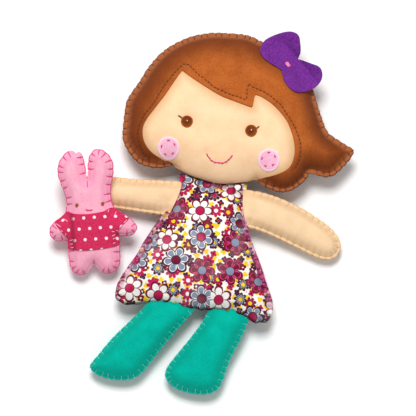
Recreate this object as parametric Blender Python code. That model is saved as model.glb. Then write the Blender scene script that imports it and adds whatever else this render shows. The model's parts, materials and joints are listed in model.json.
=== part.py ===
"""A stuffed felt doll with bendable limbs, lying on its back, with a small toy rabbit at its hand.

Metres, +Z out of the face, the head toward +Y. The doll's left side is at +X.
"""

import math

import bmesh
import bpy
import numpy as np
from mathutils import Matrix, Quaternion, Vector
from mathutils.bvhtree import BVHTree

# Cloth, gaps and seams
FELT = 0.0012
CLEARANCE = 0.0003
FLANGE = 0.003
FLOOR_CUT = 0.0005
OVERRUN = 0.004
SLACK = 0.0009

# Head
HEAD_HALF_WIDTH = 0.075
HEAD_HEIGHT = 0.118
HEAD_SEAM_Z = 0.0215
HEAD_FRONT_CROWN = 0.0240
HEAD_CENTRE_X = 0.002
HEAD_CENTRE_Y = 0.058
FACE_WIDTH_SHARE = 0.985
FACE_HEIGHT_SHARE = 0.945
FACE_LAP = 0.0045
LAP_LIMIT_SHARE = 0.93
CHIN_SHARE = 0.9
HAIR_DOME_SHARE = 0.7
HAIR_LAP_SHARE = 0.3
HAIR_SHOULDER_SHARE = 0.55
CHIN_EASE_SHARE = 0.08
DOME_LIMIT_SHARE = 1.2
DOME_STEPS = 90
DOME_EASE = math.radians(9.0)
DOME_SAMPLES = 7
HEAD_STUFFING_STEPS = 32
NAPE_Y = 0.0062
NAPE_WIDTH_SHARE = 0.40

# Face trims and bow
EYE_DIAMETER = 0.0086
EYE_THICKNESS = 0.0012
CHEEK_DIAMETER = 0.0170
CHEEK_THICKNESS = 0.0010
RIGHT_EYE_SHARE = (-0.340, 0.351)
LEFT_EYE_SHARE = (0.317, 0.342)
RIGHT_CHEEK_SHARE = (-0.493, 0.164)
LEFT_CHEEK_SHARE = (0.536, 0.170)
BOW_LENGTH = 0.0540
BOW_THICKNESS = 0.0015
BOW_CENTRE_X = 0.0471
BOW_CENTRE_Y = 0.0969
KNOT_RADIUS = 0.0030
KNOT_HEIGHT = 0.0026
BOW_TURN = math.radians(-35.0)
BOW_TILT = math.radians(24.0)

# Torso
TORSO_SEAM_Z = 0.017
TORSO_FRONT_CROWN = 0.0160
DRESS_HALF_WIDTH = 0.061
DRESS_LENGTH = 0.100
DRESS_CENTRE_X = -0.0025

# Wires
WIRE_RADIUS = 0.0014
BEND_RADIUS = 0.0017
NECK_PIVOT_Y = 0.0047
NECK_WIRE_END_Y = 0.046
SPINE_END_Y = -0.080
SPINE_DIP = 0.0033
SHOULDER_Y = -0.0163
RIGHT_SHOULDER_X = -0.0310
LEFT_SHOULDER_X = 0.0291
HIP_BAR_RISE = 0.0170
HIP_BAR_RUN = 0.0110
ROOT_WIRE = 0.0080
WIRE_SIDES = 8

# Arms and legs
ARM_LENGTH = 0.0760
ARM_ELBOW = 0.0370
ARM_HALF_WIDTH = 0.0133
ARM_HALF_THICKNESS = 0.0078
ARM_DROOP = 0.0078
LEFT_ARM_TURN = math.radians(-10.0)
LEFT_FOREARM_TURN = math.radians(-14.0)
LEG_LENGTH = 0.0670
LEG_KNEE = 0.0350
LEG_HALF_WIDTH = 0.0168
FOOT_HALF_WIDTH = 0.0195
LEG_HALF_THICKNESS = 0.0100
LEG_DROOP = 0.0052
RIGHT_LEG_TURN = math.radians(34.0)
LEFT_LEG_TURN = math.radians(22.5)
RIGHT_HIP_X = -0.0215
LEFT_HIP_X = 0.0248
RIGHT_HIP_Y = -0.0987
LEFT_HIP_Y = -0.0979
STUFFING_SLACK = 0.0006
STUFFING_END = 0.0025
STUFFING_CROWN_SHARE = 0.80
JOINT_GAP = 0.0040

# Toy rabbit
TOY_HALF_WIDTH = 0.0200
TOY_HEIGHT = 0.1010
TOY_CENTRE_X = -0.0903
TOY_CENTRE_Y = -0.0402
TOY_FLANGE = 0.0020
TOY_FELT = 0.0010
TOY_CROWN = 0.0068
TOY_LEAN = math.radians(11.2)
TOY_TILT = math.radians(14.0)
TOY_EYE_DIAMETER = 0.0028
TOY_EYE_HEIGHT = 0.0012
TOY_EYE_SHARE = (0.50, 0.130)
SWEATER_FELT_THICKNESS = 0.0009
SEAT_GAP = 0.0004
TOY_RING_SHARES = (0.0, 0.62, 0.90, 1.0)
TOY_LINING_SHARES = (0.0, 0.75, 1.0)

# Outlines in shares of each piece's half width and height, read from above
HAIR_SHARES = (
    (-0.40, 0.07), (-0.55, 0.065), (-0.66, 0.065), (-0.78, 0.08), (-0.90, 0.16), (-0.97, 0.23),
    (-1.00, 0.34), (-1.00, 0.44), (-0.97, 0.50), (-0.88, 0.62), (-0.82, 0.71), (-0.70, 0.82),
    (-0.56, 0.89), (-0.41, 0.95), (-0.22, 0.99), (-0.03, 1.00), (0.15, 1.00), (0.30, 0.98),
    (0.57, 0.91), (0.74, 0.82), (0.89, 0.70), (0.95, 0.63), (1.02, 0.52), (1.10, 0.43),
    (1.20, 0.39), (1.33, 0.35), (1.40, 0.33), (1.38, 0.28), (1.30, 0.21), (1.22, 0.15),
    (1.13, 0.13), (0.97, 0.13), (0.93, 0.09), (0.83, 0.03), (0.72, 0.00), (0.61, 0.01),
    (0.49, 0.035), (0.42, 0.062),
)
CHIN_SHARES = (
    (0.34, 0.040), (0.20, 0.015), (0.05, 0.003), (-0.14, 0.015), (-0.26, 0.035), (-0.36, 0.060),
)
OPENING_SHARES = (
    (-0.46, 0.09), (-0.57, 0.12), (-0.67, 0.15), (-0.74, 0.19), (-0.79, 0.24), (-0.80, 0.31),
    (-0.76, 0.37), (-0.69, 0.46), (-0.61, 0.54), (-0.54, 0.64), (-0.47, 0.72), (-0.35, 0.67),
    (-0.20, 0.63), (-0.04, 0.58), (0.12, 0.56), (0.30, 0.53), (0.31, 0.62), (0.39, 0.61),
    (0.49, 0.58), (0.59, 0.53), (0.68, 0.47), (0.75, 0.38), (0.79, 0.30), (0.79, 0.22),
    (0.75, 0.16), (0.65, 0.11), (0.50, 0.075),
)
DRESS_SHARES = (
    (-0.38, 0.04), (-0.38, -0.01), (-0.43, -0.15), (-0.48, -0.23), (-0.53, -0.29), (-0.63, -0.38),
    (-0.72, -0.50), (-0.82, -0.65), (-0.92, -0.76), (-0.99, -0.84), (-1.00, -0.93), (-0.96, -1.00),
    (-0.85, -1.01), (-0.70, -0.985), (-0.52, -0.96), (-0.20, -0.96), (0.05, -0.955), (0.30, -0.95),
    (0.52, -0.96), (0.72, -0.99), (0.87, -1.02), (0.96, -0.98), (0.99, -0.89), (0.95, -0.80),
    (0.85, -0.69), (0.75, -0.56), (0.67, -0.46), (0.60, -0.37), (0.55, -0.29), (0.50, -0.20),
    (0.47, -0.10), (0.46, -0.01), (0.47, 0.04), (0.30, 0.035), (0.05, 0.03), (-0.20, 0.035),
)
DRESS_SPINE_SHARES = ((0.03, -0.17), (0.01, -0.42), (0.00, -0.70))
BOW_SHARES = (
    (-0.04, -0.15), (-0.19, -0.18), (-0.37, -0.20), (-0.46, -0.16), (-0.51, -0.05), (-0.48, 0.09),
    (-0.41, 0.27), (-0.33, 0.36), (-0.23, 0.38), (-0.14, 0.33), (-0.04, 0.24), (0.02, 0.135),
    (0.07, 0.17), (0.18, 0.23), (0.30, 0.29), (0.41, 0.25), (0.47, 0.16), (0.49, 0.03),
    (0.44, -0.10), (0.36, -0.20), (0.23, -0.23), (0.11, -0.215), (0.00, -0.155),
)

# Along each limb, from root to tip: shares of its length and of its half width
ARM_SHARES = (
    (0.12, 0.98), (0.30, 1.00), (0.49, 1.00), (0.68, 1.00), (0.84, 0.95), (0.94, 0.70),
    (0.985, 0.38),
)
LEG_SHARES = (
    (0.14, 0.98), (0.33, 1.00), (0.52, 1.00), (0.70, 1.02), (0.84, 1.00), (0.94, 0.74),
    (0.985, 0.40),
)
LIMB_SPINE_SHARES = (0.12, 0.30, 0.49, 0.68, 0.82)
LIMB_CROWN_SHARES = (0.62, 0.88, 0.95, 1.00, 0.95)

# The toy's right half, each row an outline point and the name of the spine point that it rises to
TOY_SPINE_SHARES = {
    "ear": (0.55, 0.445), "ear_root": (0.42, 0.30), "head": (0.0, 0.19), "chest": (0.0, -0.04),
    "paw": (1.20, -0.078), "belly": (0.0, -0.20), "foot": (0.50, -0.345),
}
TOY_CROWN_SHARES = {
    "ear": 0.40, "ear_root": 0.55, "head": 1.00, "chest": 0.90, "paw": 0.50, "belly": 1.00,
    "foot": 0.62,
}
TOY_SHARES = (
    (0.00, 0.335, "head"), (0.06, 0.40, "ear_root"), (0.13, 0.49, "ear"), (0.28, 0.54, "ear"),
    (0.55, 0.555, "ear"), (0.82, 0.53, "ear"), (1.00, 0.47, "ear"), (1.04, 0.40, "ear"),
    (0.94, 0.30, "ear_root"), (0.86, 0.22, "head"), (0.86, 0.13, "head"), (0.98, 0.065, "chest"),
    (1.30, 0.010, "chest"), (1.62, -0.045, "paw"), (1.70, -0.09, "paw"), (1.58, -0.135, "paw"),
    (1.32, -0.148, "paw"), (1.03, -0.145, "chest"), (0.99, -0.22, "belly"), (0.99, -0.31, "belly"),
    (0.93, -0.385, "foot"), (0.76, -0.42, "foot"), (0.50, -0.433, "foot"), (0.24, -0.415, "foot"),
    (0.09, -0.375, "foot"), (0.00, -0.34, "belly"),
)
SWEATER_SHARES = (
    (0.00, 0.055, "chest"), (0.45, 0.060, "chest"), (0.92, 0.080, "chest"),
    (1.28, 0.015, "chest"), (1.36, -0.145, "chest"), (1.03, -0.150, "chest"),
    (0.99, -0.215, "belly"), (0.50, -0.228, "belly"), (0.00, -0.235, "belly"),
)

FACE_RING_SHARES = (0.0, 0.48, 0.80, 1.0)

# Where the rings of a padded form lie between its spine and its seam, and how it swells
RING_SHARES = (0.0, 0.42, 0.72, 0.91, 1.0)
LINING_SHARES = (0.0, 0.60, 0.90, 1.0)
LIMB_RING_SHARES = (0.0, 0.62, 0.90, 1.0)
LIMB_LINING_SHARES = (0.0, 0.75, 1.0)
SWELL_POWER = 2.2
SWELL_ROOT = 0.55
HEAD_SWELL_POWER = 3.0


def empty_scene():
    """Removes every object of the scene."""
    for thing in list(bpy.data.objects):
        bpy.data.objects.remove(thing, do_unlink=True)


empty_scene()
DOLL = bpy.data.collections.new("bendy_doll")
CUTTERS = bpy.data.collections.new("cutters")
bpy.context.scene.collection.children.link(DOLL)
bpy.context.scene.collection.children.link(CUTTERS)


def material(name, colour, roughness=0.95):
    """A Principled material of one plain colour."""
    made = bpy.data.materials.new(name)
    made.use_nodes = True
    shader = made.node_tree.nodes["Principled BSDF"]
    shader.inputs["Base Color"].default_value = (*colour, 1.0)
    shader.inputs["Roughness"].default_value = roughness
    shader.inputs["Metallic"].default_value = 0.0
    return made


FACE_FELT = (0.93, 0.72, 0.46)
HAIR_FELT = (0.47, 0.13, 0.025)
EYE_FELT = (0.30, 0.10, 0.04)
CHEEK_FELT = (0.86, 0.28, 0.38)
BOW_FELT = (0.14, 0.02, 0.26)
KNOT_THREAD = (0.90, 0.35, 0.50)
PRINT_COTTON = (0.72, 0.45, 0.52)
LEG_FELT = (0.0, 0.47, 0.38)
TOY_PINK = (0.93, 0.41, 0.58)
SWEATER_FELT = (0.62, 0.02, 0.13)
STUFFING = (0.90, 0.90, 0.88)
CHENILLE = (0.80, 0.80, 0.78)
TOY_EYE_THREAD = (0.20, 0.06, 0.03)


def add_object(name, mesh, colour, collection=DOLL):
    """Links an object with its own material and smooth shading to a collection."""
    made = bpy.data.objects.new(name, mesh)
    collection.objects.link(made)
    if collection is CUTTERS:
        made.hide_render = True
        made.display_type = "WIRE"
    else:
        mesh.materials.append(material(name + "_finish", colour))
        mesh.shade_smooth()
        mesh.set_sharp_from_angle(angle=math.radians(40))
    return made


def ring_mesh(name, rings):
    """Joins closed rings of equal length, in order, and merges the rings that fall together."""
    work = bmesh.new()
    rows = [[work.verts.new(point) for point in ring] for ring in rings]
    count = len(rows[0])
    for lower, upper in zip(rows, rows[1:]):
        for here in range(count):
            after = (here + 1) % count
            work.faces.new((lower[here], lower[after], upper[after], upper[here]))
    bmesh.ops.remove_doubles(work, verts=work.verts, dist=CLEARANCE / 30)
    bmesh.ops.recalc_face_normals(work, faces=work.faces)
    mesh = bpy.data.meshes.new(name)
    work.to_mesh(mesh)
    work.free()
    return mesh


def strip_mesh(name, sections):
    """Lofts closed sections, in order along a strip, and caps its two ends."""
    work = bmesh.new()
    rows = [[work.verts.new(point) for point in section] for section in sections]
    count = len(rows[0])
    for lower, upper in zip(rows, rows[1:]):
        for here in range(count):
            after = (here + 1) % count
            work.faces.new((lower[here], lower[after], upper[after], upper[here]))
    for end in (rows[0], rows[-1]):
        work.faces.new(end)
    bmesh.ops.recalc_face_normals(work, faces=work.faces)
    mesh = bpy.data.meshes.new(name)
    work.to_mesh(mesh)
    work.free()
    return mesh


def swell(share, power=SWELL_POWER):
    """How high a padded form stands, from 1 at its spine (share 0) to 0 at its seam (share 1)."""
    return (1.0 - np.clip(share, 0.0, 1.0) ** power) ** SWELL_ROOT


class Padded:
    """A sewn and stuffed form: an outline, the spine point that each of its points rises to, the
    height of its front and back crowns there, the height of its seam, and how far its stuffed
    dome reaches from the spine."""

    def __init__(
        self, outline, spine, front, back, seam, flange=FLANGE, cloth=FELT, dome=None,
        power=SWELL_POWER,
    ):
        self.outline = np.array(outline, dtype=float)
        self.spine = np.array(spine, dtype=float)
        count = len(self.outline)
        self.front = np.full(count, front, dtype=float)
        self.back = np.full(count, back, dtype=float)
        self.seam = np.full(count, seam, dtype=float)
        self.cloth = cloth
        self.power = power
        out = self.outline - self.spine
        self.reach = np.linalg.norm(out, axis=1)
        self.dome = self.reach - flange if dome is None else dome
        self.way = out / self.reach[:, None]

    def ring(self, share, depth, side):
        """The ring of the surface that lies depth under the outer one, at a share of the way out."""
        stuffed = np.maximum(self.dome - depth, 0.0)
        crown = self.front if side > 0 else self.back
        height = CLEARANCE / 2 + self.cloth - depth + crown * swell(share, self.power)
        place = self.spine + self.way * (share * stuffed)[:, None]
        return np.column_stack([place, self.seam + side * height])

    def edge(self, side, inner, trim=0.0):
        """The ring at the outline's cut edge, on the cloth's outer or inner face."""
        height = CLEARANCE / 2 + (0.0 if inner else self.cloth)
        place = self.spine + self.way * (self.reach - trim)[:, None]
        return np.column_stack([place, self.seam + side * height])

    def panel(self, side, shares=RING_SHARES, lining=LINING_SHARES):
        """The rings of one cloth panel: over its outer face, round the cut edge and back inside."""
        rings = [self.ring(share, 0.0, side) for share in shares]
        rings += [self.edge(side, False), self.edge(side, True)]
        rings += [self.ring(share, self.cloth, side) for share in reversed(lining)]
        return rings

    def filling(self, shares=LINING_SHARES, slack=CLEARANCE):
        """The rings of the stuffing inside both panels, which meet in one ring at the seam."""
        depth = self.cloth + slack
        front = [self.ring(share, depth, 1) for share in shares[:-1]]
        rim = self.ring(1.0, depth, 1)
        rim[:, 2] = self.seam
        back = [self.ring(share, depth, -1) for share in reversed(shares[:-1])]
        return front + [rim] + back


def polygon_reach(polygon, centre, angles):
    """How far a closed outline lies from a centre, in each of the given directions."""
    start = polygon - centre
    edge = np.roll(start, -1, axis=0) - start
    way = np.column_stack([np.cos(angles), np.sin(angles)])[:, None, :]
    crossing = way[..., 0] * edge[:, 1] - way[..., 1] * edge[:, 0]
    crossing = np.where(np.abs(crossing) < 1e-12, 1e-12, crossing)
    reach = (start[:, 0] * edge[:, 1] - start[:, 1] * edge[:, 0]) / crossing
    along = (start[:, 0] * way[..., 1] - start[:, 1] * way[..., 0]) / crossing
    hit = (along > -1e-9) & (along < 1 + 1e-9) & (reach > 0)
    return np.where(hit, reach, 0.0).max(axis=1)


def placed(shares, half_width, height, centre_x=0.0):
    """An outline's points, from its shares of a half width and a height."""
    return np.array(shares) * (half_width, height) + (centre_x, 0.0)


def turned(points, angle):
    """Plan points turned about the origin."""
    spin = np.array([[math.cos(angle), math.sin(angle)], [-math.sin(angle), math.cos(angle)]])
    return np.asarray(points) @ spin


# Wires


def wire_mesh(name, path, radii):
    """A round bar along a path of points, with a radius at each of them and closed ends."""
    path = np.array(path, dtype=float)
    tangent = np.gradient(path, axis=0)
    tangent /= np.linalg.norm(tangent, axis=1)[:, None]
    up = np.array([0.0, 0.0, 1.0])
    side = np.cross(tangent, up)
    side /= np.linalg.norm(side, axis=1)[:, None]
    rise = np.cross(side, tangent)
    rings = []
    for here, radius in enumerate(radii):
        turn = [math.tau * step / WIRE_SIDES for step in range(WIRE_SIDES)]
        ring = [
            path[here] + radius * (math.cos(a) * side[here] + math.sin(a) * rise[here])
            for a in turn
        ]
        rings.append(ring)
    return ring_mesh(name, rings)


def bend_end(point, outward):
    """The last points and radii of a wire whose rounded bend is centred on a point."""
    steps = ((-0.9, 0.82), (-0.3, 1.0), (0.35, 0.95), (0.8, 0.62), (1.0, 0.0))
    path = [point + outward * BEND_RADIUS * along for along, _ in steps]
    return path, [BEND_RADIUS * share for _, share in steps]


def make_wire(name, path, bend_first=False, bend_last=False):
    """A covered wire; an end without a bend stops flat at its point."""
    path = [np.array(point, dtype=float) for point in path]
    radii = [WIRE_RADIUS] * len(path)
    for flag, first in ((bend_first, True), (bend_last, False)):
        if first:
            path.reverse()
            radii.reverse()
        outward = path[-1] - path[-2]
        outward /= np.linalg.norm(outward)
        if flag:
            tail, sizes = bend_end(path[-1], outward)
            path[-1:] = tail
            radii[-1:] = sizes
        else:
            path.append(path[-1] + outward * CLEARANCE / 10)
            radii.append(0.0)
        if first:
            path.reverse()
            radii.reverse()
    return add_object(name, wire_mesh(name, path, radii), CHENILLE)


def make_bore(name, path):
    """The cutter that clears a wire's way, a little wider than its bends."""
    path = [np.array(point, dtype=float) for point in path]
    wide = BEND_RADIUS + CLEARANCE
    ends = [path[0] - (path[1] - path[0]) * 1e-3, path[-1] + (path[-1] - path[-2]) * 1e-3]
    radii = [0.0] + [wide] * len(path) + [0.0]
    return add_object(name, wire_mesh(name, [ends[0], *path, ends[1]], radii), None, CUTTERS)


def cut(piece, cutter):
    """Cuts one object out of another with an exact Boolean."""
    step = piece.modifiers.new("cut_" + cutter.name, "BOOLEAN")
    step.operation = "DIFFERENCE"
    step.solver = "EXACT"
    step.object = cutter


def out_from(points, extra):
    """A path made longer at both ends by a straight extra length."""
    path = [np.array(point, dtype=float) for point in points]
    first = path[0] - path[1]
    last = path[-1] - path[-2]
    path[0] = path[0] + first / np.linalg.norm(first) * extra
    path[-1] = path[-1] + last / np.linalg.norm(last) * extra
    return path


# Torso: a printed cotton dress over its stuffing


def floor_cutter():
    """A slab under the floor plane, which leaves the flat that the doll rests on."""
    work = bmesh.new()
    bmesh.ops.create_cube(work, size=1.0)
    mesh = bpy.data.meshes.new("floor_slab")
    depth = OVERRUN * 2
    wide = HEAD_HEIGHT * 4
    work.transform(Matrix.Translation((0, 0, -depth / 2)) @ Matrix.Diagonal((wide, wide, depth, 1)))
    work.to_mesh(mesh)
    work.free()
    return add_object("floor_slab", mesh, None, CUTTERS)


FLOOR = floor_cutter()

dress_outline = placed(DRESS_SHARES, DRESS_HALF_WIDTH, DRESS_LENGTH, DRESS_CENTRE_X)
dress_spine_points = placed(DRESS_SPINE_SHARES, DRESS_HALF_WIDTH, DRESS_LENGTH, DRESS_CENTRE_X)
dress_spine_steps = (dress_spine_points[1:, 1] + dress_spine_points[:-1, 1]) / 2
dress_choice = (dress_outline[:, 1:] < dress_spine_steps[None, :]).sum(axis=1)
dress_back_crown = TORSO_SEAM_Z - CLEARANCE / 2 - FELT + FLOOR_CUT
dress = Padded(
    dress_outline,
    dress_spine_points[dress_choice],
    TORSO_FRONT_CROWN,
    dress_back_crown,
    TORSO_SEAM_Z,
)
dress_front = add_object("dress_front", ring_mesh("dress_front", dress.panel(1)), PRINT_COTTON)
dress_back = add_object("dress_back", ring_mesh("dress_back", dress.panel(-1)), PRINT_COTTON)
cut(dress_back, FLOOR)
torso_fill = ring_mesh("torso_stuffing", dress.filling(LINING_SHARES, SLACK))
torso_stuffing = add_object("torso_stuffing", torso_fill, STUFFING)


# Limbs: two felt panels each, stuffing above and below the bend, and the wire


class Limb:
    """A limb's own frame: from its root outward, across it, and the height of its seam."""

    def __init__(self, root, turn, lower_turn, length, bend, droop):
        self.root = np.array(root)
        self.turn = turn
        self.lower_turn = lower_turn
        self.length = length
        self.bend = bend
        self.droop = droop

    def plan(self, points):
        """World plan points from points along and across the limb."""
        points = np.array(points, dtype=float)
        lower = points[:, 0] > self.bend
        elbow = np.array([self.bend, 0.0])
        points[lower] = turned(points[lower] - elbow, self.lower_turn) + elbow
        return turned(points, self.turn) + self.root

    def height(self, along):
        """The height of the seam, which sinks evenly from the torso's seam."""
        return TORSO_SEAM_Z - self.droop * np.asarray(along) / self.length

    def point(self, along):
        """The point of the wire at a length along the limb."""
        return np.append(self.plan([(along, 0.0)])[0], self.height(along))


def limb_outline(limb, half_width, tip_width, shares, slant):
    """A limb's outline, along and across it: the slanted root, one side, the tip, the other."""
    along = np.array([row[0] for row in shares]) * limb.length
    grow = half_width + (tip_width - half_width) * (along / limb.length) ** 2
    across = np.array([row[1] for row in shares]) * grow
    corner = half_width * shares[0][1]
    root = [(slant * -corner, -corner), (0.0, 0.0), (slant * corner, corner)]
    far = [(limb.length, 0.0)]
    near_side = np.column_stack([along, across]).tolist()
    other_side = np.column_stack([along, -across]).tolist()[::-1]
    return np.array(root + near_side + far + other_side)


def make_limb(name, limb, half_width, tip_width, half_thickness, shares, slant, felt):
    """The panels, stuffing and wires of one limb, and its two bores."""
    outline = limb_outline(limb, half_width, tip_width, shares, slant)
    stations = np.array(LIMB_SPINE_SHARES) * limb.length
    choice = (outline[:, :1] > (stations[1:] + stations[:-1])[None, :] / 2).sum(axis=1)
    spine = np.column_stack([stations[choice], np.zeros(len(choice))])
    crown = half_thickness * np.array(LIMB_CROWN_SHARES)[choice]
    form = Padded(limb.plan(outline), limb.plan(spine), crown, crown, limb.height(stations[choice]))
    way = [limb.point(-OVERRUN), limb.point(limb.bend), limb.point(limb.length - JOINT_GAP * 2)]
    bore = make_bore(name + "_bore", way)
    for side, word in ((1, "front"), (-1, "back")):
        rings = form.panel(side, LIMB_RING_SHARES, LIMB_LINING_SHARES)
        panel = add_object(f"{name}_{word}", ring_mesh(f"{name}_{word}", rings), felt)
        cut(panel, bore)
    inset = FLANGE + FELT + STUFFING_SLACK
    ends = (
        ("upper", ROOT_WIRE + JOINT_GAP, limb.bend - JOINT_GAP),
        ("lower", limb.bend + JOINT_GAP, limb.length - inset - STUFFING_END),
    )
    for word, start, stop in ends:
        centre, half = (start + stop) / 2, (stop - start) / 2
        turn = np.arange(12) * math.tau / 12
        across = (half_width if word == "upper" else min(half_width, tip_width)) - inset
        lengthwise = centre + half * np.sign(np.cos(turn)) * np.abs(np.cos(turn)) ** 0.7
        sideways = across * np.sign(np.sin(turn)) * np.abs(np.sin(turn)) ** 0.7
        plug = limb.plan(np.column_stack([lengthwise, sideways]))
        core_at = np.where(lengthwise > centre, centre + half / 4, centre - half / 4)
        core = limb.plan(np.column_stack([core_at, np.zeros(12)]))
        rise = half_thickness * np.interp(centre / limb.length, LIMB_SPINE_SHARES, LIMB_CROWN_SHARES)
        low = rise * STUFFING_CROWN_SHARE - STUFFING_SLACK
        fill = Padded(plug, core, low, low, limb.height(core_at), flange=0.0, cloth=0.0)
        mesh = ring_mesh(f"{name}_{word}_stuffing", fill.filling(LIMB_LINING_SHARES, 0.0))
        piece = add_object(f"{name}_{word}_stuffing", mesh, STUFFING)
        cut(piece, bore)
    start_gap = BEND_RADIUS + CLEARANCE
    make_wire(f"{name}_root_wire", [limb.point(start_gap), limb.point(ROOT_WIRE)], bend_last=True)
    upper = [limb.point(ROOT_WIRE + start_gap), limb.point(limb.bend)]
    make_wire(f"{name}_upper_wire", upper, bend_last=True)
    lower = [limb.point(limb.bend + start_gap), limb.point(limb.length - JOINT_GAP * 3)]
    make_wire(f"{name}_lower_wire", lower)
    return form


RIGHT_ARM = Limb(
    (RIGHT_SHOULDER_X, SHOULDER_Y), math.pi, 0.0, ARM_LENGTH, ARM_ELBOW, ARM_DROOP
)
LEFT_ARM = Limb(
    (LEFT_SHOULDER_X, SHOULDER_Y), LEFT_ARM_TURN, LEFT_FOREARM_TURN, ARM_LENGTH, ARM_ELBOW, ARM_DROOP
)
RIGHT_LEG = Limb(
    (RIGHT_HIP_X, RIGHT_HIP_Y), -math.pi / 2 - RIGHT_LEG_TURN, 0.0, LEG_LENGTH, LEG_KNEE, LEG_DROOP
)
LEFT_LEG = Limb(
    (LEFT_HIP_X, LEFT_HIP_Y), -math.pi / 2 - LEFT_LEG_TURN, 0.0, LEG_LENGTH, LEG_KNEE, LEG_DROOP
)
ARM_FORM = (ARM_HALF_WIDTH, ARM_HALF_WIDTH, ARM_HALF_THICKNESS, ARM_SHARES)
LEG_FORM = (LEG_HALF_WIDTH, FOOT_HALF_WIDTH, LEG_HALF_THICKNESS, LEG_SHARES)
RIGHT_ARM_SLANT_SHARE = 0.335
LEFT_ARM_SLANT_SHARE = -0.378
RIGHT_LEG_SLANT_SHARE = -0.757
LEFT_LEG_SLANT_SHARE = -0.291
make_limb("right_arm", RIGHT_ARM, *ARM_FORM, RIGHT_ARM_SLANT_SHARE, FACE_FELT)
make_limb("left_arm", LEFT_ARM, *ARM_FORM, LEFT_ARM_SLANT_SHARE, FACE_FELT)
make_limb("right_leg", RIGHT_LEG, *LEG_FORM, RIGHT_LEG_SLANT_SHARE, LEG_FELT)
make_limb("left_leg", LEFT_LEG, *LEG_FORM, LEFT_LEG_SLANT_SHARE, LEG_FELT)

# The torso's wires: a spine under the shoulder bar, and a bar between the hips
shoulder_path = [RIGHT_ARM.point(0.0), LEFT_ARM.point(0.0)]
make_wire("shoulder_bar", shoulder_path, bend_first=True, bend_last=True)
spine_z = TORSO_SEAM_Z - SPINE_DIP
spine_path = [
    (0.0, NECK_PIVOT_Y, TORSO_SEAM_Z),
    (0.0, SHOULDER_Y / 3, TORSO_SEAM_Z),
    (0.0, SHOULDER_Y * 3 / 4, spine_z),
    (0.0, SHOULDER_Y * 4 / 3, spine_z),
    (0.0, SPINE_END_Y, spine_z),
]
make_wire("spine_wire", spine_path, bend_first=True)
right_in = RIGHT_LEG.point(-HIP_BAR_RUN)
left_in = LEFT_LEG.point(-HIP_BAR_RUN)
bar_y = (RIGHT_HIP_Y + LEFT_HIP_Y) / 2 + HIP_BAR_RISE
hip_path = [
    RIGHT_LEG.point(0.0),
    right_in,
    (right_in[0] / 3, bar_y, TORSO_SEAM_Z),
    (left_in[0] / 2, bar_y, TORSO_SEAM_Z),
    left_in,
    LEFT_LEG.point(0.0),
]
make_wire("hip_bar", hip_path, bend_first=True, bend_last=True)

spine_bore = make_bore("spine_bore", out_from(spine_path, OVERRUN))
shoulder_bore = make_bore("shoulder_bore", out_from(shoulder_path, OVERRUN))
hip_bore = make_bore("hip_bore", out_from(hip_path, OVERRUN))
for piece in (dress_front, dress_back, torso_stuffing):
    for bore in (spine_bore, shoulder_bore, hip_bore):
        cut(piece, bore)

# Head: a back piece of hair felt, a front piece with the face opening, and the face under it
HEAD_CENTRE = np.array([HEAD_CENTRE_X, HEAD_CENTRE_Y])
HEAD_BACK_CROWN = HEAD_SEAM_Z - CLEARANCE / 2 - FELT + FLOOR_CUT
hair_outline = placed(HAIR_SHARES, HEAD_HALF_WIDTH, HEAD_HEIGHT)
chin_outline = placed(CHIN_SHARES, HEAD_HALF_WIDTH, HEAD_HEIGHT)
opening_outline = placed(
    OPENING_SHARES, HEAD_HALF_WIDTH * FACE_WIDTH_SHARE, HEAD_HEIGHT * FACE_HEIGHT_SHARE
)
front_outline = np.vstack([hair_outline, chin_outline])


def direction(points):
    """The direction of each plan point from the head's centre, from straight down, clockwise."""
    out = np.atleast_2d(points) - HEAD_CENTRE
    return np.mod(-np.arctan2(out[:, 1], out[:, 0]) - math.pi / 2, math.tau)


def reach_at(polygon, turn):
    """How far an outline lies from the head's centre, in directions given clockwise from below."""
    return polygon_reach(polygon, HEAD_CENTRE, -np.asarray(turn) - math.pi / 2)


dome_turns = np.arange(DOME_STEPS) * math.tau / DOME_STEPS


def dome_reach(turn):
    """How far the head's rounded dome reaches: inside the outline, past its flicks and notches."""
    count = DOME_SAMPLES
    wide = np.linspace(-2 * DOME_EASE, 2 * DOME_EASE, 2 * count - 1)
    reaches = np.array([reach_at(front_outline, dome_turns + step) for step in wide])
    least = np.minimum(reaches, HEAD_HALF_WIDTH * DOME_LIMIT_SHARE)
    inner = [least[start : start + count].min(axis=0) for start in range(count)]
    even = np.mean(inner, axis=0) - FLANGE
    return np.interp(np.mod(turn, math.tau), dome_turns, even, period=math.tau)


def head_point(turn, reach):
    """Plan points at a direction and a distance from the head's centre."""
    angle = -np.asarray(turn) - math.pi / 2
    return HEAD_CENTRE + np.column_stack([np.cos(angle), np.sin(angle)]) * np.reshape(reach, (-1, 1))


def head_height(turn, reach, depth, crown=HEAD_FRONT_CROWN, side=1):
    """The height of the head's surface, at a depth under its outer face."""
    stuffed = dome_reach(turn) - depth
    rise = CLEARANCE / 2 + FELT - depth + crown * swell(reach / stuffed, HEAD_SWELL_POWER)
    return HEAD_SEAM_Z + side * rise


def head_ring(turn, reach, depth):
    """The 3-D points of a ring on the head's front."""
    return np.column_stack([head_point(turn, reach), head_height(turn, reach, depth)])


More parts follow.
